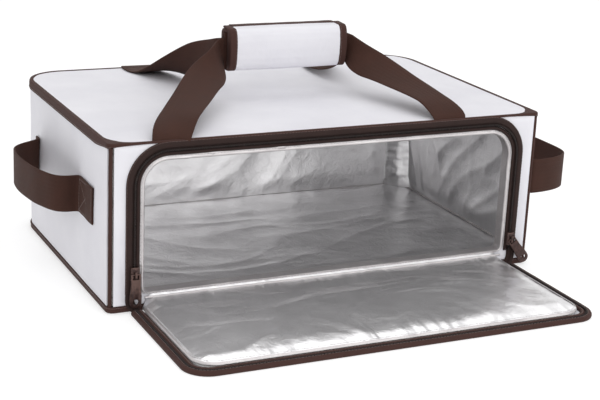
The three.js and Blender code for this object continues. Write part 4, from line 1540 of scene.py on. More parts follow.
@dataclass
class Lining:
    """Foil inside the body: floor, ceiling, walls, corner strips, lip and welts."""

    foil: float = 0.6 * MM
    step: float = 2.6 * MM
    corner: float = 24 * MM
    stand_off: float = 38 * MM

    def lean(self, height: Array) -> Array:
        """How far the loose lining stands in from the back wall at a height."""
        low, high = corners("liner_back")
        return self.stand_off * smooth((high[2] - height) / (high[2] - low[2]) * 2)

    def build(self) -> None:
        """Builds and dresses all the body's foil."""
        floor_low, floor_high = corners("liner_floor")
        back_low, back_high = corners("liner_back")
        floor = Plane((0, 0, floor_high[2]), (1, 0, 0), (0, 1, 0), (0, 0, 1))
        ceiling = Plane((0, 0, corners("liner_ceiling")[0][2]), (1, 0, 0), (0, 1, 0), (0, 0, -1))
        level = (floor_low[:2], floor_high[:2])
        rounds = (0.0, 0.0, self.corner, self.corner)
        self.sheet("floor", floor, *level, Folds.in_mm(41, 3, 46, 260, 2.2, 0.8, 14, 12, 0.15), rounds)
        self.sheet("ceiling", ceiling, *level, Folds.in_mm(42, 12, 44, 180, 3.0, 1.3, 9, 16, 0.15), rounds)
        slanted = Folds.in_mm(43, 40, 60, 190, 3.4, 1.0, 16, 18, 0.15)
        self.sheet("back", upright(back_low[1], -1), back_low[[0, 2]], back_high[[0, 2]], slanted)
        falling = Folds.in_mm(44, -48, 40, 150, 5.5, 1.4, 14, 20, 0.2)
        for side, name in SIDES:
            low, high = corners(f"liner_{name}")
            wall = Plane((high[0] if side < 0 else low[0], 0, 0), (0, 1, 0), (0, 0, 1), (-side, 0, 0))
            self.sheet(name, wall, low[1:], high[1:], falling)
        self.corner_strips()
        self.lip()
        self.welts(floor_high[2])

    def sheet(
        self, name: str, plane: Plane, low: Array, high: Array, folds: Folds,
        radii: Sequence[float] = (0,) * 4,
    ) -> None:
        """One wrinkled foil sheet.

        Args:
            name: First word of the piece's name, and last word of the node that it replaces.
            plane: Plane that it is stretched on, facing the cavity.
            low: Lowest coordinates.
            high: Highest coordinates.
            folds: Its folds.
            radii: Radii of its corners.
        """
        grid = PanelGrid(low, high, radii, self.step)
        rise = folds.rise(grid.a, grid.b, grid.sides)
        if name == "back":
            rise = rise + self.lean(grid.b)
        sheet = panel(f"{name}_foil", plane, grid, rise, rise - self.foil)
        dress(sheet, Finish.FOIL, "bag", f"liner_{name}")

    def corner_strips(self) -> None:
        """Foil across the two back corners, puckered between its two seams."""
        for side, name in SIDES:
            low, high = corners(f"liner_corner_{name}")
            edge_x = side * min(abs(low[0]), abs(high[0]))
            wall_x = side * max(abs(low[0]), abs(high[0]))
            start = np.array([edge_x, high[1] - 1.4 * MM, 0])
            end = np.array([wall_x, low[1], 0])
            run = unit(end - start)
            facing = unit(np.cross(run, [0, 0, 1.0]) * side)
            facing = facing * (-1 if facing[1] > 0 else 1)
            plane = Plane(tuple(start), tuple(run), (0, 0, 1), tuple(facing))
            length = float(np.linalg.norm(end - start))
            folds = Folds.in_mm(50 + side, 8, 15, 60, 3.4, 1.8, 8, 11, 0.6)
            grid = PanelGrid((0, low[2]), (length, high[2]), (0, 0, 0, 0), 1.8 * MM)
            bow = 4 * (grid.a / length) * (1 - grid.a / length)
            rise = bow * 1.6 * MM + folds.rise(grid.a, grid.b, grid.sides)
            front, back = (plane.place(grid.a, grid.b, rise - depth) for depth in (0, self.foil))
            for face in (front, back):
                face[..., 1] -= self.lean(face[..., 2])
            strip = closed_sheet(f"{name}_corner_foil", front, back, grid.maps)
            dress(strip, Finish.FOIL, "bag", f"liner_corner_{name}")

    def lip(self) -> None:
        """Foil on the inside of the front wall, round the mouth."""
        low, high = corners("liner_lip")
        front = MouthFront()
        a, b, share = front.ring(1.5 * MM, (low[0], low[2]), (high[0], high[2]), 8)
        loose = 0.5 + 0.5 * Ripple(61).at(a / (14 * MM), b / (14 * MM))
        wave = np.sin(math.pi * share) * loose * 0.8 * MM
        faces = (upright(high[1], 1).place(a, b, wave - depth) for depth in (0, self.foil))
        lip = closed_sheet("lip_foil", *faces, np.stack([a, b], axis=-1), ring=True)
        dress(lip, Finish.FOIL, "bag", "liner_lip")
        flat = (float(front.opening(5 * MM).along[-1]), 10.5 * MM)

    def welts(self, level: float) -> None:
        """Narrow foil-covered welts along the floor's seams and up the back corners.

        Args:
            level: Height of the floor's foil.
        """
        low, high = corners("liner_floor")
        cut, rear, near = self.corner, high[1] - self.stand_off, low[1] + 2 * MM
        left, right = low[0], high[0]
        course = [(left, near), (left, rear - cut), (left + cut, rear)]
        course += [(right - cut, rear), (right, rear - cut), (right, near)]
        track = Track.through(course, [0, *[5 * MM] * 4, 0], 3 * MM)
        ripple = Ripple(62)
        wave = 0.4 * MM * ripple.at(track.along / (21 * MM), 0.0)
        radius = 1.25 * MM * (1 + 0.15 * ripple.at(track.along / (8 * MM), 1.0))
        profile = round_profile(1.0, 10)[None] * radius[:, None, None]
        out = FLOOR_PLAN.turn(track.outward)
        centre = FLOOR_PLAN.place(*track.points.T, level + 1.0 * MM + wave) - out * 1.4 * MM
        dress(sweep("floor_welt", centre, out, UP, profile), Finish.TRIM, "bag")
        fold_low, fold_high = corners("liner_back")
        levels = np.arange(fold_low[2] + 1 * MM, fold_high[2] - 1 * MM, 3 * MM)
        for side, name in SIDES:
            sway = 0.3 * MM * ripple.at(levels / (14 * MM), 5.0 + side)
            for x, y, part in (
                (side * (fold_high[0] + 0.6 * MM), fold_low[1] - 0.4 * MM, "inner"),
                (side * (high[0] - 1.6 * MM), high[1] - cut - 1.4 * MM, "outer"),
            ):
                line = spots(x + sway, y - self.lean(levels), levels)
                cord = sweep(f"{name}_{part}_corner_welt", line, RIGHT, -BACK, round_profile(0.9 * MM, 8))
                dress(cord, Finish.FOIL, "bag")


# Zip


def arch(half: float, low: float, high: float, radius: float, step: float) -> Track:
    """Track up one side, round two corners and down the other side."""
    course = [(-half, low), (-half, high), (half, high), (half, low)]
    return Track.through(course, [0, radius, radius, 0], step)


@dataclass
class Zip:
    """Zip of body and door: folded cover strips, tapes, coils, their turns, sliders and pulls."""

    cover_width: float = 6.6 * MM
    cover_height: float = 2.1 * MM
    inner_width: float = 3.6 * MM
    inner_height: float = 1.7 * MM
    step: float = 3 * MM
    tooth_pitch: float = 1.75 * MM
    coil_inset: float = 1.2 * MM
    front: Plane = upright(-158.3 * MM, -1)

    def build(self) -> None:
        """Builds the zip's pieces."""
        self.body()
        self.door()
        for side, name in SIDES:
            self.turn(side, name)
            for part in ("slider", "pull"):
                self.cast(f"{name}_{part}", f"{name}_zip_{part}")

    @staticmethod
    def fold_profile(start: float, width: float, tall: float) -> Array:
        """Outline of a folded strip of binding, from its inner side outwards.

        Args:
            start: Place of its inner side.
            width: Its width.
            tall: Its height.

        Returns:
            The outline, as (outward, up) rows.
        """
        rows = [(0.0, 0.15), (0.01, 0.62), (0.09, 0.9), (0.26, 1.0), (0.62, 0.98)]
        rows += [(0.84, 0.82), (0.96, 0.5), (1.0, 0.15), (0.97, 0.0), (0.05, 0.0)]
        return np.array([(start + share * width, rise * tall) for share, rise in rows])

    def body(self) -> None:
        """Half of the zip that is sewn round the mouth."""
        low, high = corners("body_zip_tape")
        track = arch(high[0], low[2], high[2], 42.8 * MM, self.step)
        tape = np.array([(-10, 0), (-10, 0.8), (-9.6, 1.0), (-4.5, 1.0), (-0.3, 0.8), (0, 0.4), (0, 0)]) * MM
        piece = sweep_on("body_zip_tape_band", self.front, track, 0.0, tape)
        dress(piece, Finish.TAPE, "bag", "body_zip_tape")
        outer = self.fold_profile(-self.cover_width, self.cover_width, self.cover_height)
        inner = self.fold_profile(-13.8 * MM, self.inner_width, self.inner_height)
        for part, profile in (("outer", outer), ("inner", inner)):
            cover = sweep_on(f"body_zip_{part}_cover", self.front, track, 0.0, profile)
            dress(cover, Finish.TAPE, "bag")
        line = track.shifted(-0.55 * MM).points
        SEWING.on("body_zip_stitches", self.front, line, 1.35 * MM, Finish.BROWN_THREAD, "bag")
        low, high = corners("body_zip_coil")
        inset = self.coil_inset
        middle = arch(high[0] - inset, low[2], high[2] - inset, 34.3 * MM, self.step)
        level = -(low[1] + inset) + self.front.origin[1]
        self.coil("body_zip", self.front, middle, level, "bag")

    def coil(
        self, name: str, plane: Plane, track: Track, level: float, body: str
    ) -> None:
        """A coil: its turns, and the cord that they are wound on.

        Args:
            name: First words of the names of the piece and of the node that it replaces.
            plane: Plane that it lies on.
            track: Its middle line.
            level: Height of its middle above the plane.
            body: Body that it rides on.
        """
        line = plane.place(*track.points.T, level)
        teeth = SEWING.tooth.along(f"{name}_teeth", line, np.array(plane.up), self.tooth_pitch)
        core = sweep_on(f"{name}_teeth_core", plane, track, level - 0.2 * MM, round_profile(0.75 * MM, 8))
        dress(core, Finish.COIL, body)
        dress(teeth, Finish.COIL, body, f"{name}_coil")

    def door(self) -> None:
        """Half of the zip that is sewn round the door."""
        low, high = corners("door_zip_tape")
        track = arch(high[0], -high[1], -low[1], 23 * MM, self.step)
        rows = [(-9, 0), (-9, 0.8), (-8.5, 1.3), (-7, 1.6), (-5.4, 1.3)]
        rows += [(-4.6, 0.7), (-0.3, 0.7), (0, 0.4), (0, 0)]
        piece = sweep_on("door_zip_tape_band", DOOR_PLAN, track, low[2], np.array(rows) * MM)
        dress(piece, Finish.TAPE, "door", "door_zip_tape")
        fold = self.fold_profile(-8.8 * MM, 4.7 * MM, 3.0 * MM)
        cover = sweep_on("door_zip_inner_cover", DOOR_PLAN, track, low[2], fold)
        dress(cover, Finish.BINDING, "door")
        line = track.shifted(-6.4 * MM).points
        SEWING.on("door_zip_stitches", DOOR_PLAN, line, low[2] + 3.05 * MM, Finish.BROWN_THREAD, "door")
        low, high = corners("door_zip_coil")
        inset = self.coil_inset
        middle = arch(high[0] - inset, -high[1], -low[1] - inset, 20.5 * MM, self.step)
        self.coil("door_zip", DOOR_PLAN, middle, low[2] + inset, "door")

    def turn(self, side: int, name: str) -> None:
        """Tape that carries the zip round a low corner, from body to door.

        Args:
            side: -1 on the left, 1 on the right.
            name: The side's name.
        """
        low, high = corners(f"{name}_zip_turn")
        body_x, door_x = side * 218 * MM, side * 212.6 * MM
        knots = [
            (body_x, -158.9 * MM, high[2]), (body_x, -159.0 * MM, 10 * MM),
            ((body_x + door_x) / 2, -160.4 * MM, 4.4 * MM), (door_x, -163.4 * MM, 2.5 * MM),
            (door_x, low[1], 2.2 * MM),
        ]
        line = spline(knots, 1.2 * MM)
        run = unit(np.gradient(line, axis=0))
        up = unit(np.cross(RIGHT, run)) * -1
        across = unit(np.cross(run, up))
        rows = [(-4.5, -0.5), (-4.5, 0.4), (-3.6, 0.6), (-0.6, 0.6), (0, 0.5), (0.7, 1.7), (3.4, 2.0)]
        rows += [(4.7, 1.4), (4.9, 0.2), (4.5, -0.5)]
        profile = np.array(rows) * MM * np.array([side, 1])
        tape = sweep(f"{name}_zip_turn_tape", line, across * np.sign(across[:, :1]), up, profile)
        dress(tape, Finish.TAPE, "", f"{name}_zip_turn")
        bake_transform(tape)

    def cast(self, node: str, body: str) -> None:
        """A die-cast piece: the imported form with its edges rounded.

        Args:
            node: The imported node.
            body: Body that it rides on.
        """
        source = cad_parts[node]
        piece = bpy.data.objects.new(f"{node}_casting", source.data.copy())
        bpy.context.scene.collection.objects.link(piece)
        select_only(piece)
        bpy.ops.object.mode_set(mode="EDIT")
        bpy.ops.mesh.select_all(action="SELECT")
        bpy.ops.mesh.remove_doubles(threshold=0.01 * MM)
        bpy.ops.mesh.dissolve_limited(angle_limit=math.radians(3))
        bpy.ops.object.mode_set(mode="OBJECT")
        bevel = piece.modifiers.new("rounded", "BEVEL")
        bevel.width = 0.32 * MM
        bevel.segments = 2
        bevel.limit_method = "ANGLE"
        bevel.angle_limit = math.radians(40)
        bevel.use_clamp_overlap = True
        bpy.ops.object.modifier_apply(modifier=bevel.name)
        bpy.ops.object.shade_smooth_by_angle(angle=math.radians(35))
        dress(piece, Finish.METAL, body, node)


# Door


@dataclass
class Door:
    """Door that lies open: foil lining, foam, outer cloth, bound edge and the hinge cloth."""

    sill: float = 158.4 * MM
    sill_height: float = 18 * MM
    sill_step: float = 3 * MM
    sill_share: float = 0.42
    hinge_end: float = 171 * MM
    pad_height: float = 8.2 * MM
    rim_height: float = 5.0 * MM
    shoulder: float = 15 * MM
    puff: float = 1.6 * MM
    foil: float = 0.6 * MM
    edge_width: float = 5.0 * MM
    edge_height: float = 4.5 * MM
    step: float = 2.2 * MM
    folds: Folds = Folds.in_mm(71, 16, 44, 130, 3.0, 3.2, 9, 13, 0.12)

    def build(self) -> None:
        """Builds and dresses the door's pieces."""
        self.lining()
        self.pad()
        self.cover()
        self.edge()
        self.hinge()

    def level(self, b: Array, sides: tuple[Array, ...]) -> Array:
        """Height of the lining without its folds.

        Args:
            b: Distance in front of the body's origin.
            sides: Distance to the low a, high a, near and far edges.

        Returns:
            The height above the floor.
        """
        ahead = b - self.sill
        steep = smooth(ahead / self.sill_step)
        slope = self.sill_share * steep + (1 - self.sill_share) * smooth(ahead / (28 * MM))
        base = self.sill_height + (self.pad_height - self.sill_height) * slope
        edge = np.minimum.reduce([sides[0], sides[1], sides[3]])
        share = np.sin(np.clip(edge / self.shoulder, 0, 1) * math.pi / 2)
        crown = self.puff * smooth(edge / (55 * MM)) * smooth((b - self.sill) / (40 * MM))
        return self.rim_height + (base - self.rim_height) * share + crown

    def lining(self) -> None:
        """Foil from the sill to the far seam, gathered where it is sewn."""
        low, high = corners("door_liner")
        radii = (9 * MM, 9 * MM, 23 * MM, 23 * MM)
        grid = PanelGrid((low[0], self.sill), (high[0], -low[1]), radii, self.step)
        sides = grid.sides
        level = self.level(grid.b, sides)
        calm = smooth((grid.b - self.sill) / (14 * MM))
        rise = level + self.folds.rise(grid.a, grid.b, sides) * (0.25 + 0.75 * calm)
        lining = panel("door_lining", DOOR_PLAN, grid, rise, rise - self.foil)
        dress(lining, Finish.FOIL, "", "door_liner", "hinge_foil")
        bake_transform(lining)
        track = arch(high[0], self.hinge_end, -low[1], 23 * MM, 2 * MM)
        line, height = track.shifted(-2.6 * MM).points, self.rim_height + 2.9 * MM
        SEWING.on("door_lining_stitches", DOOR_PLAN, line, height, Finish.PALE_THREAD, "door")
        rows = [(-1.7, 1.6), (-1.2, 2.2), (-0.4, 1.8), (0.2, 0.7), (0.5, 0.0), (-0.6, -0.6), (-1.3, 1.0)]
        ripple = Ripple(72)
        pucker = 1 + 0.14 * ripple.at(track.along / (5 * MM), 0.0)
        profile = np.array(rows)[None] * MM * pucker[:, None, None]
        band = sweep_on("door_lining_trim", DOOR_PLAN, track, self.rim_height, profile)
        dress(band, Finish.TRIM, "door")
        xs = np.linspace(low[0] + 4 * MM, high[0] - 4 * MM, 160)
        level = self.sill_height - self.sill_share * (self.sill_height - self.pad_height) + 0.4 * MM
        wave = 0.25 * MM * ripple.at(xs / (17 * MM), 0.0)
        line = spots(xs, -self.sill - self.sill_step - 0.2 * MM, level + wave)
        welt = sweep("sill_welt", line, BACK, UP, round_profile(1 * MM, 10))
        dress(welt, Finish.TRIM, "bag")

    def pad(self) -> None:
        """Foam inside the door, under the lining."""
        low, high = corners("door_foam")
        radii = (3 * MM, 3 * MM, 22 * MM, 22 * MM)
        grid = PanelGrid((low[0], -high[1]), (high[0], -low[1]), radii, 8 * MM)
        inset = low[0] - corners("door_liner")[0][0]
        sides = tuple(side + inset for side in grid.sides)
        top = np.maximum(self.level(grid.b, sides) - 2.2 * MM, low[2] + 0.5 * MM)
        top = np.minimum(top, high[2])
        pad = panel("door_pad", DOOR_PLAN, grid, top, low[2])
        dress(pad, Finish.FOAM, "door", "door_foam")

    def cover(self) -> None:
        """Outer cloth of the door, which lies on the ground."""
        low, high = corners("door_outer_panel")
        radii = (0.0, 0.0, 23 * MM, 23 * MM)
        grid = PanelGrid((low[0], -high[1]), (high[0], -low[1]), radii, 6 * MM)
        soft = BODY.ripple.at(grid.a / (90 * MM), grid.b / (60 * MM) + 4)
        dent = smooth(grid.edge / (25 * MM)) * 0.3 * MM * (1 + soft)
        cover = panel("door_cover", DOOR_PLAN, grid, high[2], low[2] + dent)
        dress(cover, Finish.CLOTH, "door", "door_outer_panel")

    def edge(self) -> None:
        """Rounded binding round the door's edge."""
        low, high = corners("door_edge_binding")
        track = arch(high[0], -high[1], -low[1], 26 * MM, 3 * MM)
        wave = 1 + 0.04 * Ripple(73).at(track.along / (16 * MM), 0.0)
        width, tall = self.edge_width, self.edge_height
        shares = [(1.0, 0.42), (0.97, 0.68), (0.8, 0.92), (0.5, 1.0), (0.2, 0.9), (0.03, 0.6)]
        shares += [(0.0, 0.3), (0.08, 0.02), (0.5, 0.0), (0.62, 0.2), (0.66, 0.4)]
        rows = np.array([(-share * width, rise * tall) for share, rise in shares])
        binding = sweep_on("door_edge", DOOR_PLAN, track, low[2], rows[None] * wave[:, None, None])
        dress(binding, Finish.BINDING, "door", "door_edge_binding")
        line, level = track.shifted(-0.78 * width).points, low[2] + tall * 0.97
        SEWING.on("door_edge_stitches", DOOR_PLAN, line, level, Finish.BROWN_THREAD, "door")

    def hinge(self) -> None:
        """Outer cloth between body and door, on the ground."""
        low, high = corners("hinge_fabric")
        grid = PanelGrid((low[0], -high[1]), (high[0], -low[1]), (0, 0, 0, 0), 1.5 * MM)
        soft = 0.12 * MM * BODY.ripple.at(grid.a / (20 * MM), grid.b / (8 * MM))
        hinge = panel("hinge_cover", DOOR_PLAN, grid, high[2] + soft, low[2] + soft)
        dress(hinge, Finish.CLOTH, "", "hinge_fabric")
        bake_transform(hinge)


# Grip and carrying straps


@dataclass
class Grip:
    """Soft grip wrapped round the straps, with bound ends and a hook-and-loop closing."""

    middle_y: float = -20 * MM
    middle_z: float = 224 * MM
    half: float = 68 * MM
    end_width: float = 8 * MM
    proud: float = 0.7 * MM
    step: float = 2.5 * MM

    def build(self) -> None:
        """Builds and dresses the grip's pieces."""
        wrap_half = self.half - self.end_width - 0.1 * MM
        front = self.loft("grip_front_cover", self.front_outline(0), -wrap_half, wrap_half, 1.1 * MM, 81)
        dress(front, Finish.CLOTH, "grip_wrap", "grip_front_wrap")
        rear = self.loft("grip_rear_cover", self.rear_outline(0), -wrap_half, wrap_half, 0.0, 82)
        dress(rear, Finish.CLOTH, "grip", "grip_rear_wrap")
        for side, name in SIDES:
            start = side * self.half if side < 0 else self.half - self.end_width
            for outline, part, facing, body, nodes in (
                (self.front_outline(self.proud), "front", -1, "grip_wrap", (f"grip_{name}_binding",)),
                (self.rear_outline(self.proud * 0.6, 1.5 * MM), "rear", 1, "grip", ()),
            ):
                band = self.end_band(f"grip_{part}_{name}_band", outline, start)
                dress(band, Finish.BINDING, body, *nodes)
                self.end_seam(f"grip_{part}_{name}_stitches", outline, start, side, facing, body)
        self.rear_edge()
        for node in ("grip_hook_strip", "grip_loop_strip"):
            self.fastener(node)

    def front_outline(self, proud: float) -> Track:
        """Closed outline of the front half, clockwise, seen along X.

        Args:
            proud: How far it stands out from the cloth.

        Returns:
            The outline.
        """
        near, depth, reach = -4.2 * MM, 10.4 * MM + proud, 8 * MM
        low, under, top = -20.9 * MM - proud * 0.3, 22.8 * MM, 24.6 * MM + proud
        middle, half = (low + top) / 2, (top - low) / 2
        angles = np.radians(np.linspace(-75, 75, 9))
        bulge = near - depth * np.cos(angles) ** 0.6
        rise = middle + half * np.sign(angles) * np.abs(np.sin(angles)) ** 0.8
        course = [(near, low), *zip(bulge, rise), (reach, top), (reach, under), (near, under)]
        radii = [1 * MM, *[3 * MM] * len(angles), 0.9 * MM, 0.9 * MM, 1.2 * MM]
        return Track.through(course, radii, 1.1 * MM, closed=True)

    def rear_outline(self, proud: float, lift: float = 0.0) -> Track:
        """Closed outline of the rear half: a channel that the straps lie in.

        Args:
            proud: How far it stands out from the cloth.
            lift: How much higher its upper side ends.

        Returns:
            The outline.
        """
        inner, deep, back = -3.9 * MM, 4 * MM, 12 * MM + proud
        low, top, hollow = -20.9 * MM - proud * 0.5, 20.9 * MM + proud * 0.5 + lift, 19.3 * MM
        course = [(inner, hollow), (inner, top), (back, top), (back, low)]
        course += [(inner, low), (inner, -hollow), (deep, -hollow), (deep, hollow)]
        radii = np.array([0.5, 0.7, 6, 6, 0.7, 0.5, 1, 1]) * MM
        return Track.through(course, radii, 1.1 * MM, closed=True)

    def swept(self, name: str, xs: Array, profile: Array) -> Object:
        """A form along the grip, from its outlines at places along X."""
        return sweep(name, spots(xs, self.middle_y, self.middle_z), BACK, UP, profile)

    def loft(self, name: str, outline: Track, start: float, end: float, puff: float, seed: int) -> Object:
        """A soft half of the grip, swollen and creased between its ends.

        Args:
            name: The piece's name.
            outline: Its outline at the ends.
            start: First end, along X.
            end: Other end.
            puff: How far it swells.
            seed: Seed of its creases.

        Returns:
            The piece.
        """
        xs = np.linspace(start, end, int((end - start) / self.step))
        ripple = Ripple(seed)
        points, out = outline.points[:-1], outline.outward[:-1]
        free = smooth(np.maximum(-out[:, 0] if puff else out[:, 0], 0) + np.maximum(out[:, 1], 0) * 0.4)
        share = (xs - start) / (end - start)
        swell = np.sin(math.pi * share) ** 0.6
        around = outline.along[:-1]
        soft = ripple.at(xs[:, None] / (26 * MM), around[None] / (20 * MM))
        pinch = np.exp(-np.minimum(xs - start, end - xs) / (5 * MM))
        tuck = ripple.ridges(1.5 + 0 * xs[:, None], around[None] / (5 * MM))
        rise = free[None] * (puff * swell[:, None] + 0.35 * MM * soft * swell[:, None])
        rise = rise - free[None] * 0.35 * MM * tuck * pinch[:, None]
        return self.swept(name, xs, points[None] + out[None] * rise[..., None])

    def end_band(self, name: str, outline: Track, start: float) -> Object:
        """Binding folded over one end of the grip.

        Args:
            name: The piece's name.
            outline: Outline of the half that it binds.
            start: Its low end, along X.

        Returns:
            The piece.
        """
        offsets = np.array([0.0, 0.25, 0.7, 1.6, 4.0, 6.6, 7.5, 8.0]) * MM
        insets = np.array([0.85, 0.35, 0.08, 0.0, 0.08, 0.0, 0.15, 0.55]) * MM
        points, out = outline.points[:-1], outline.outward[:-1]
        return self.swept(name, start + offsets, points[None] - out[None] * insets[:, None, None])

    def end_seam(
        self, name: str, outline: Track, start: float, side: int, facing: int, body: str
    ) -> None:
        """Stitches along the inner side of an end's binding, where its face shows.

        Args:
            name: The piece's name.
            outline: Outline of the binding.
            start: The binding's low end, along X.
            side: -1 on the left, 1 on the right.
            facing: -1 on the front half, 1 on the rear one.
            body: Body that it rides on.
        """
        x = start + (6.7 * MM if side < 0 else 1.3 * MM)
        shown = outline.outward[:, 0] * facing > 0.3
        a, b = (outline.points + outline.outward * 0.05 * MM)[shown].T
        up = spots(0, *outline.outward[shown].T)
        line = spots(x, self.middle_y + a, self.middle_z + b)
        SEWING.seam(name, line, up, Finish.BROWN_THREAD, body)

    def rear_edge(self) -> None:
        """Binding along the rear edge of the front half's lip."""
        low, high = corners("grip_edge_binding")
        xs = np.arange(low[0], high[0] + self.step / 2, self.step)
        wave = 0.25 * MM * Ripple(83).at(xs / (15 * MM), 0.0)
        wide, tall = (high[1] - low[1]) / 2, (high[2] - low[2]) / 2
        shape = [(-4, 0.3), (-4, 0.8), (-3.6, 1.05), (0.3, 1.1), (0.85, 0.7)]
        shape += [(1.0, 0), (0.8, -0.9), (-1, -0.9), (-1.1, 0.2)]
        profile = varied([(a * wide + wave * 0.3, b * tall + wave) for a, b in shape], len(xs))
        centre = spots(xs, *((low + high) / 2)[1:])
        edge = sweep("grip_rear_edge", centre, BACK, UP, profile)
        dress(edge, Finish.BINDING, "grip_wrap", "grip_edge_binding")
        line = centre + np.array([0, -0.4 * wide, tall * 1.02])
        SEWING.seam("grip_rear_edge_stitches", line, UP, Finish.BROWN_THREAD, "grip_wrap")

    def fastener(self, node: str) -> None:
        """Strip of hook or loop tape, its pile uneven.

        Args:
            node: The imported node.
        """
        low, high = corners(node)
        grid = PanelGrid((low[0], low[1]), (high[0], high[1]), (1 * MM,) * 4, 1.2 * MM)
        pile = 0.12 * MM * Ripple(84).at(grid.a / (2 * MM), grid.b / (2 * MM)) * smooth(grid.edge / (1 * MM))
        hook = node == "grip_hook_strip"
        seen = high[2] + (0 if hook else pile - 0.1 * MM)
        strip = panel(f"{node}_tape", FLOOR_PLAN, grid, seen, low[2] + (0.1 * MM - pile if hook else 0))
        dress(strip, Finish.HOOK, "grip_wrap" if hook else "grip", node)


@dataclass(frozen=True)
class Leg:
    """One leg of a carrying strap.

    Attributes:
        band: Band that it belongs to, front or rear.
        name: Side's name.
        root: Place where it is sewn, seen from above.
        shares: Shares of the way from the grip to the root along X, Y and Z.
        landing: Length that lies flat before the root.
        standing: Height that it rises straight up from the root.
    """

    band: str
    name: str
    root: Pair
    shares: tuple[Triple, ...]
    landing: float
    standing: float

    @property
    def side(self) -> int:
        """-1 on the left, 1 on the right."""
        return -1 if self.name == "left" else 1


REAR_SHARES = ((0.2, 0.12, 0.16), (0.5, 0.4, 0.56), (0.84, 0.7, 0.88))
FRONT_SHARES = (
    *((0.12, 0.13, 0.16), (0.33, 0.32, 0.32), (0.57, 0.56, 0.48)),
    *((0.78, 0.77, 0.62), (0.91, 0.9, 0.76)),
)


@dataclass
class Straps:
    """Two bands of webbing through the grip, each with two legs that twist down to the top's edge."""

    width: float = 38 * MM
    thickness: float = 1.8 * MM
    exit: float = 2.5 * MM
    middle_z: float = 224 * MM
    step: float = 2.5 * MM
    edge_y: float = 148 * MM
    twist_fade: float = 0.33
    gripped: float = 0.7
    rear_twist: Pair = (0.08, 0.84)
    legs: tuple[Leg, ...] = (
        Leg("front", "left", (-178 * MM, -156.6 * MM), FRONT_SHARES, 0.0, 2 * MM),
        Leg("front", "right", (130 * MM, -156.6 * MM), FRONT_SHARES, 0.0, 2 * MM),
        Leg("rear", "left", (-105 * MM, 154 * MM), REAR_SHARES, 24 * MM, 0.0),
        Leg("rear", "right", (105 * MM, 154 * MM), REAR_SHARES, 24 * MM, 0.0),
    )

    def build(self) -> None:
        """Builds and dresses the bands."""
        for band in ("front", "rear"):
            self.middle(band)
        for leg in self.legs:
            self.leg(leg)

    def middle(self, band: str) -> None:
        """The part of a band inside the grip.

        Args:
            band: The band: front or rear.
        """
        low, high = corners(f"{band}_strap_middle")
        xs = np.linspace(low[0], high[0], 57)
        centre = spots(xs, (low[1] + high[1]) / 2, self.middle_z)
        profile = flat_profile(self.width, self.thickness * 0.96)
        webbing = sweep(f"{band}_strap_middle_webbing", centre, UP, BACK, profile)
        dress(webbing, Finish.WEBBING, "grip", f"{band}_strap_middle")

    def leg(self, leg: Leg) -> None:
        """One leg, upright at the grip and lying flat where it is sewn down.

        Args:
            leg: Course of the leg.
        """
        side = leg.side
        low, high = corners(f"{leg.band}_strap_middle")
        start = np.array([high[0] * side + side * 0.3 * MM, (low[1] + high[1]) / 2, self.middle_z])
        root = np.array([*leg.root, BODY.height + (-1.2 * MM if leg.standing else 1.9 * MM)])
        leave = start + np.array([side * self.exit, 0, 0])
        way = root - leave
        toward = math.copysign(1.0, way[1])
        landing = root + np.array([0, -toward * leg.landing, leg.standing])
        middle = [leave + np.array(shares) * way for shares in leg.shares]
        line = spline([start, leave, *middle, landing, root], self.step)
        ground = BODY.height + BODY.top_rise(line[:, 0], line[:, 1]) + 1.6 * MM
        on_top = np.abs(line[:, 1]) < self.edge_y
        line[:, 2] = np.where(on_top | (leg.standing == 0), np.maximum(line[:, 2], ground), line[:, 2])
        run = unit(np.gradient(line, axis=0))
        share = travelled(line) / travelled(line)[-1]
        first, last = self.rear_twist
        early = (1 - np.exp(-share / self.twist_fade)) / (1 - math.exp(-1 / self.twist_fade))
        late = smooth((share - first) / (last - first))
        twist = (early if leg.standing else late) * math.pi / 2
        level = spots(np.abs(run[:, 1]) * side, -np.abs(run[:, 0]) * toward, 0)
        square = smooth((share - 0.75) / 0.22)[:, None]
        level = unit(unit(level) * (1 - square) + side * RIGHT * square)
        across = np.cos(twist)[:, None] * UP + np.sin(twist)[:, None] * level
        across = unit(across - (across * run).sum(axis=1)[:, None] * run)
        up = unit(np.cross(across, run))
        wide = self.gripped + (1 - self.gripped) * smooth(share / 0.3)
        scale = np.stack([wide, np.ones_like(wide)], axis=-1)[:, None]
        profile = flat_profile(self.width, self.thickness)[None] * scale
        webbing = sweep(f"{leg.band}_{leg.name}_strap", line, across, up, profile)
        dress(webbing, Finish.WEBBING, "", f"{leg.band}_strap_{leg.name}")
        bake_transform(webbing)
        if not leg.standing:
            self.root_seam(f"{leg.band}_{leg.name}_strap_stitches", root)

    def root_seam(self, name: str, root: Array) -> None:
        """Two rows of stitches across a strap's sewn end.

        Args:
            name: First words of the rows' names.
            root: The strap's sewn end.
        """
        inward = -math.copysign(1.0, root[1])
        xs = np.linspace(-self.width / 2 + 2 * MM, self.width / 2 - 2 * MM, 30) + root[0]
        for number, setback in enumerate((3.5 * MM, 8 * MM)):
            line = spots(xs, root[1] + inward * setback, root[2] + self.thickness / 2)
            row = SEWING.stitch.along(f"{name}_{number}", line, UP, 3.4 * MM)
            dress(row, Finish.BROWN_THREAD, "bag")


@dataclass(frozen=True)
class Loop:
    """Course of a side handle.

    Attributes:
        name: Side's name.
        lying_y: Place along Y of the root where the loop leaves along the wall.
        step: Direction along Y from that root to the other.
        shares: Shares of the reach away from the wall and of the span.
        far_patch: Length of webbing sewn down after the other root.
    """

    name: str
    lying_y: float
    step: int
    shares: tuple[Pair, ...]
    far_patch: float

    @property
    def side(self) -> int:
        """-1 on the left, 1 on the right."""
        return -1 if self.name == "left" else 1


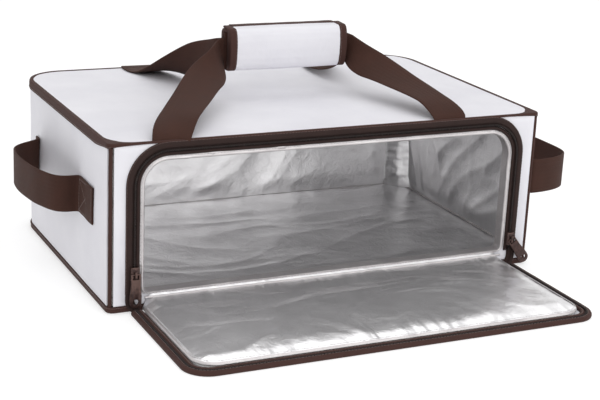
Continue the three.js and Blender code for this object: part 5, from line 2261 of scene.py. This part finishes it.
LEFT_LOOP_SHARES = (
    *((0.02, 0.0), (0.2, 0.01), (0.39, 0.05), (0.51, 0.15), (0.6, 0.27), (0.65, 0.41), (0.68, 0.56)),
    *((0.66, 0.72), (0.6, 0.82), (0.47, 0.89), (0.3, 0.94), (0.13, 0.98), (0.05, 1.0)),
)
RIGHT_LOOP_SHARES = (
    *((0.02, 0.0), (0.13, 0.06), (0.44, 0.16), (0.76, 0.25), (0.96, 0.36), (1.0, 0.5), (1.0, 0.66)),
    *((0.98, 0.79), (0.9, 0.88), (0.73, 0.94), (0.49, 0.98), (0.18, 1.0), (0.05, 1.0)),
)


@dataclass
class SideHandles:
    """Webbing loop on each side wall, sewn down at both ends with a boxed cross."""

    width: float = 38 * MM
    thickness: float = 1.8 * MM
    height: float = 97 * MM
    span: float = 144 * MM
    reach: float = 60 * MM
    patch: float = 46 * MM
    turn: float = 3 * MM
    step: float = 2 * MM
    loops: tuple[Loop, ...] = (
        Loop("left", -70 * MM, 1, LEFT_LOOP_SHARES, 14 * MM),
        Loop("right", -8 * MM, -1, RIGHT_LOOP_SHARES, 46 * MM),
    )

    def build(self) -> None:
        """Builds and dresses both handles."""
        for loop in self.loops:
            self.handle(loop)

    def course(self, loop: Loop) -> Array:
        """Distance out from the wall and place along Y of the webbing's middle.

        Args:
            loop: Course of the handle.

        Returns:
            One row for each point.
        """
        face = 0.5 * MM + self.thickness / 2
        start, way = loop.lying_y, loop.step
        end = start + way * self.span
        knots = [(face, start - way * self.patch * share) for share in (1.0, 0.5)]
        for out, along in loop.shares:
            knots.append((face + out * (self.reach - face), start + way * along * self.span))
        free = spline(knots, self.step)
        angles = np.linspace(0.2, 1, 5) * math.pi / 2
        out = face + self.turn * (1 - np.sin(angles))
        turned = np.stack([out, end + self.turn * (1 - np.cos(angles))], axis=-1)
        far = end + self.turn + np.arange(self.step, loop.far_patch - self.turn, self.step)
        patch = np.stack([np.full_like(far, face), far], axis=-1)
        points = evenly(np.vstack([free[:-1], turned, patch]), self.step)
        points[:, 0] = np.maximum(points[:, 0], face)
        return points

    def handle(self, loop: Loop) -> None:
        """One handle, from the end of one sewn patch to the end of the other.

        Args:
            loop: Course of the handle.
        """
        side, name = loop.side, loop.name
        out, y = self.course(loop).T
        line = spots(side * (BODY.half + out), y, self.height)
        up = unit(np.cross(UP, unit(np.gradient(line, axis=0))))
        profile = flat_profile(self.width, self.thickness)
        webbing = sweep(f"{name}_handle_webbing", line, UP, up, profile)
        points = np.empty(len(webbing.data.vertices) * 3)
        webbing.data.vertices.foreach_get("co", points)
        points = points.reshape(-1, 3)
        near = 1 - smooth((np.abs(points[:, 0]) - BODY.half - 2 * MM) / (14 * MM))
        points[:, 0] += side * self.swell(side, *points[:, 1:].T) * near
        webbing.data.vertices.foreach_set("co", points.ravel())
        ends = (f"{name}_handle_loop", f"{name}_handle_front_end", f"{name}_handle_rear_end")
        dress(webbing, Finish.WEBBING, "", *ends)
        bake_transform(webbing)
        lying, far = loop.lying_y, loop.lying_y + loop.step * self.span + self.turn
        patches = (sorted((lying, lying - loop.step * self.patch)), (far, far + loop.far_patch - self.turn))
        for number, (start, end) in enumerate(patches):
            self.cross(f"{name}_handle_stitches_{number}", side, start, end)

    @staticmethod
    def swell(side: int, y: Array, z: Array) -> Array:
        """How far a side wall stands out at places on it."""
        return np.maximum(BODY.wall_rise(np.full(len(y), side * BODY.half), y, z), 0)

    def cross(self, name: str, side: int, start: float, end: float) -> None:
        """Boxed cross of stitches on a sewn end.

        Args:
            name: First words of the rows' names.
            side: -1 on the left, 1 on the right.
            start: The sewn end's low edge, along Y.
            end: Its high edge.
        """
        inset = 3 * MM
        near, far = start + inset, end - inset
        low, high = self.height - self.width / 2 + inset, self.height + self.width / 2 - inset
        box = [(near, low), (near, high), (far, high), (far, low), (near, low)]
        wide = far - near > self.width / 2
        crossed = [[(near, low), (far, high)], [(near, high), (far, low)]] if wide else []
        for part, course in enumerate([box, *crossed]):
            y, z = evenly(np.array(course, float), 1 * MM).T
            out = BODY.half + 0.5 * MM + self.thickness + self.swell(side, y, z)
            row = SEWING.stitch.along(f"{name}_{part}", spots(side * out, y, z), side * RIGHT, 3.4 * MM)
            dress(row, Finish.BROWN_THREAD, "bag")


# Stage


@dataclass
class Studio:
    """Plain pale floor, soft lamps and the camera."""

    floor_size: float = 40.0
    key_power: float = 22.0
    mouth_power: float = 12.0
    top_power: float = 22.0

    def build(self) -> None:
        """Builds the stage."""
        self.floor()
        self.world()
        self.lamp("key_lamp", (-0.5, -2.2, 2.3), (0, 0, 0.1), 3.0, self.key_power)
        self.lamp("mouth_lamp", (1.0, -2.3, 1.2), (0, 0, 0.08), 2.4, self.mouth_power)
        self.lamp("top_lamp", (0.2, 0.4, 2.8), (0, 0, 0.1), 3.0, self.top_power)
        self.camera()
        bpy.context.scene.view_settings.view_transform = "Standard"

    def floor(self) -> None:
        """Wide pale floor that fades to white where nothing shades it."""
        bpy.ops.mesh.primitive_plane_add(size=self.floor_size, location=(0, 0, -0.3 * MM))
        floor = bpy.context.object
        floor.name = "studio_floor"
        pale = {"Base_Color": (0.58, 0.58, 0.58, 1), "Roughness": 0.9, "Specular_IOR_Level": 0.1}
        glow = {"Emission_Color": (1, 1, 1, 1), "Emission_Strength": 0.53}
        shade = Shade("studio_floor", **pale, **glow)
        floor.data.materials.append(shade.material)

    def world(self) -> None:
        """White surroundings to the camera and in reflections, and a softer light on the object."""
        world = bpy.data.worlds.new("studio_world")
        bpy.context.scene.world = world
        world.use_nodes = True
        nodes, link = world.node_tree.nodes, world.node_tree.links.new
        nodes.clear()
        path = nodes.new("ShaderNodeLightPath")
        seen = path.outputs["Is Camera Ray"]
        for ray in ("Is Glossy Ray", "Is Transmission Ray"):
            either = nodes.new("ShaderNodeMath")
            either.operation = "MAXIMUM"
            link(seen, either.inputs[0])
            link(path.outputs[ray], either.inputs[1])
            seen = either.outputs[0]
        strength = nodes.new("ShaderNodeMapRange")
        strength.inputs["To Min"].default_value = 0.62
        strength.inputs["To Max"].default_value = 1.0
        link(seen, strength.inputs["Value"])
        back = nodes.new("ShaderNodeBackground")
        back.inputs["Color"].default_value = (1, 1, 1, 1)
        link(strength.outputs["Result"], back.inputs["Strength"])
        output = nodes.new("ShaderNodeOutputWorld")
        link(back.outputs[0], output.inputs[0])

    def lamp(self, name: str, place: Triple, target: Triple, size: float, power: float) -> None:
        """A square soft lamp that faces a point.

        Args:
            name: The lamp's name.
            place: Where it stands.
            target: Point that it faces.
            size: Length of its side.
            power: Its power in watts.
        """
        light = bpy.data.lights.new(name, "AREA")
        light.size = size
        light.energy = power
        lamp = bpy.data.objects.new(name, light)
        bpy.context.scene.collection.objects.link(lamp)
        aim = unit(np.array(target) - np.array(place))
        side = unit(np.cross(aim, [0, 0, 1.0]))
        over = np.cross(side, aim)
        rows = np.eye(4)
        rows[:3, 0], rows[:3, 1], rows[:3, 2], rows[:3, 3] = side, over, -aim, place
        lamp.matrix_world = Matrix(rows.tolist())

    def camera(self) -> None:
        """Camera at the photograph's place."""
        data = bpy.data.cameras.new("photo_camera")
        data.sensor_width = SENSOR_WIDTH
        data.lens = FOCAL_PIXELS / IMAGE_WIDTH * SENSOR_WIDTH
        data.clip_start, data.clip_end = 0.05, 100
        camera = bpy.data.objects.new("photo_camera", data)
        bpy.context.scene.collection.objects.link(camera)
        sin_a, cos_a = math.sin(CAMERA_AZIMUTH), math.cos(CAMERA_AZIMUTH)
        sin_e, cos_e = math.sin(CAMERA_ELEVATION), math.cos(CAMERA_ELEVATION)
        ahead = np.array([sin_a * cos_e, cos_a * cos_e, -sin_e])
        right = np.array([cos_a, -sin_a, 0])
        over = np.cross(right, ahead)
        sin_r, cos_r = math.sin(CAMERA_ROLL), math.cos(CAMERA_ROLL)
        rows = np.eye(4)
        rows[:3, 0] = cos_r * right + sin_r * over
        rows[:3, 1] = -sin_r * right + cos_r * over
        rows[:3, 2] = -ahead
        rows[:3, 3] = CAMERA_PLACE
        camera.matrix_world = Matrix(rows.tolist())
        bpy.context.scene.camera = camera


def main() -> None:
    """Builds the bag piece by piece, then the stage."""
    logging.basicConfig(level=logging.INFO, format="%(name)s: %(message)s")
    Shell().build()
    MouthFront().build()
    EdgeTrim().build()
    Lining().build()
    Zip().build()
    Door().build()
    Grip().build()
    Straps().build()
    SideHandles().build()
    Studio().build()


if __name__ == "__main__":
    main()
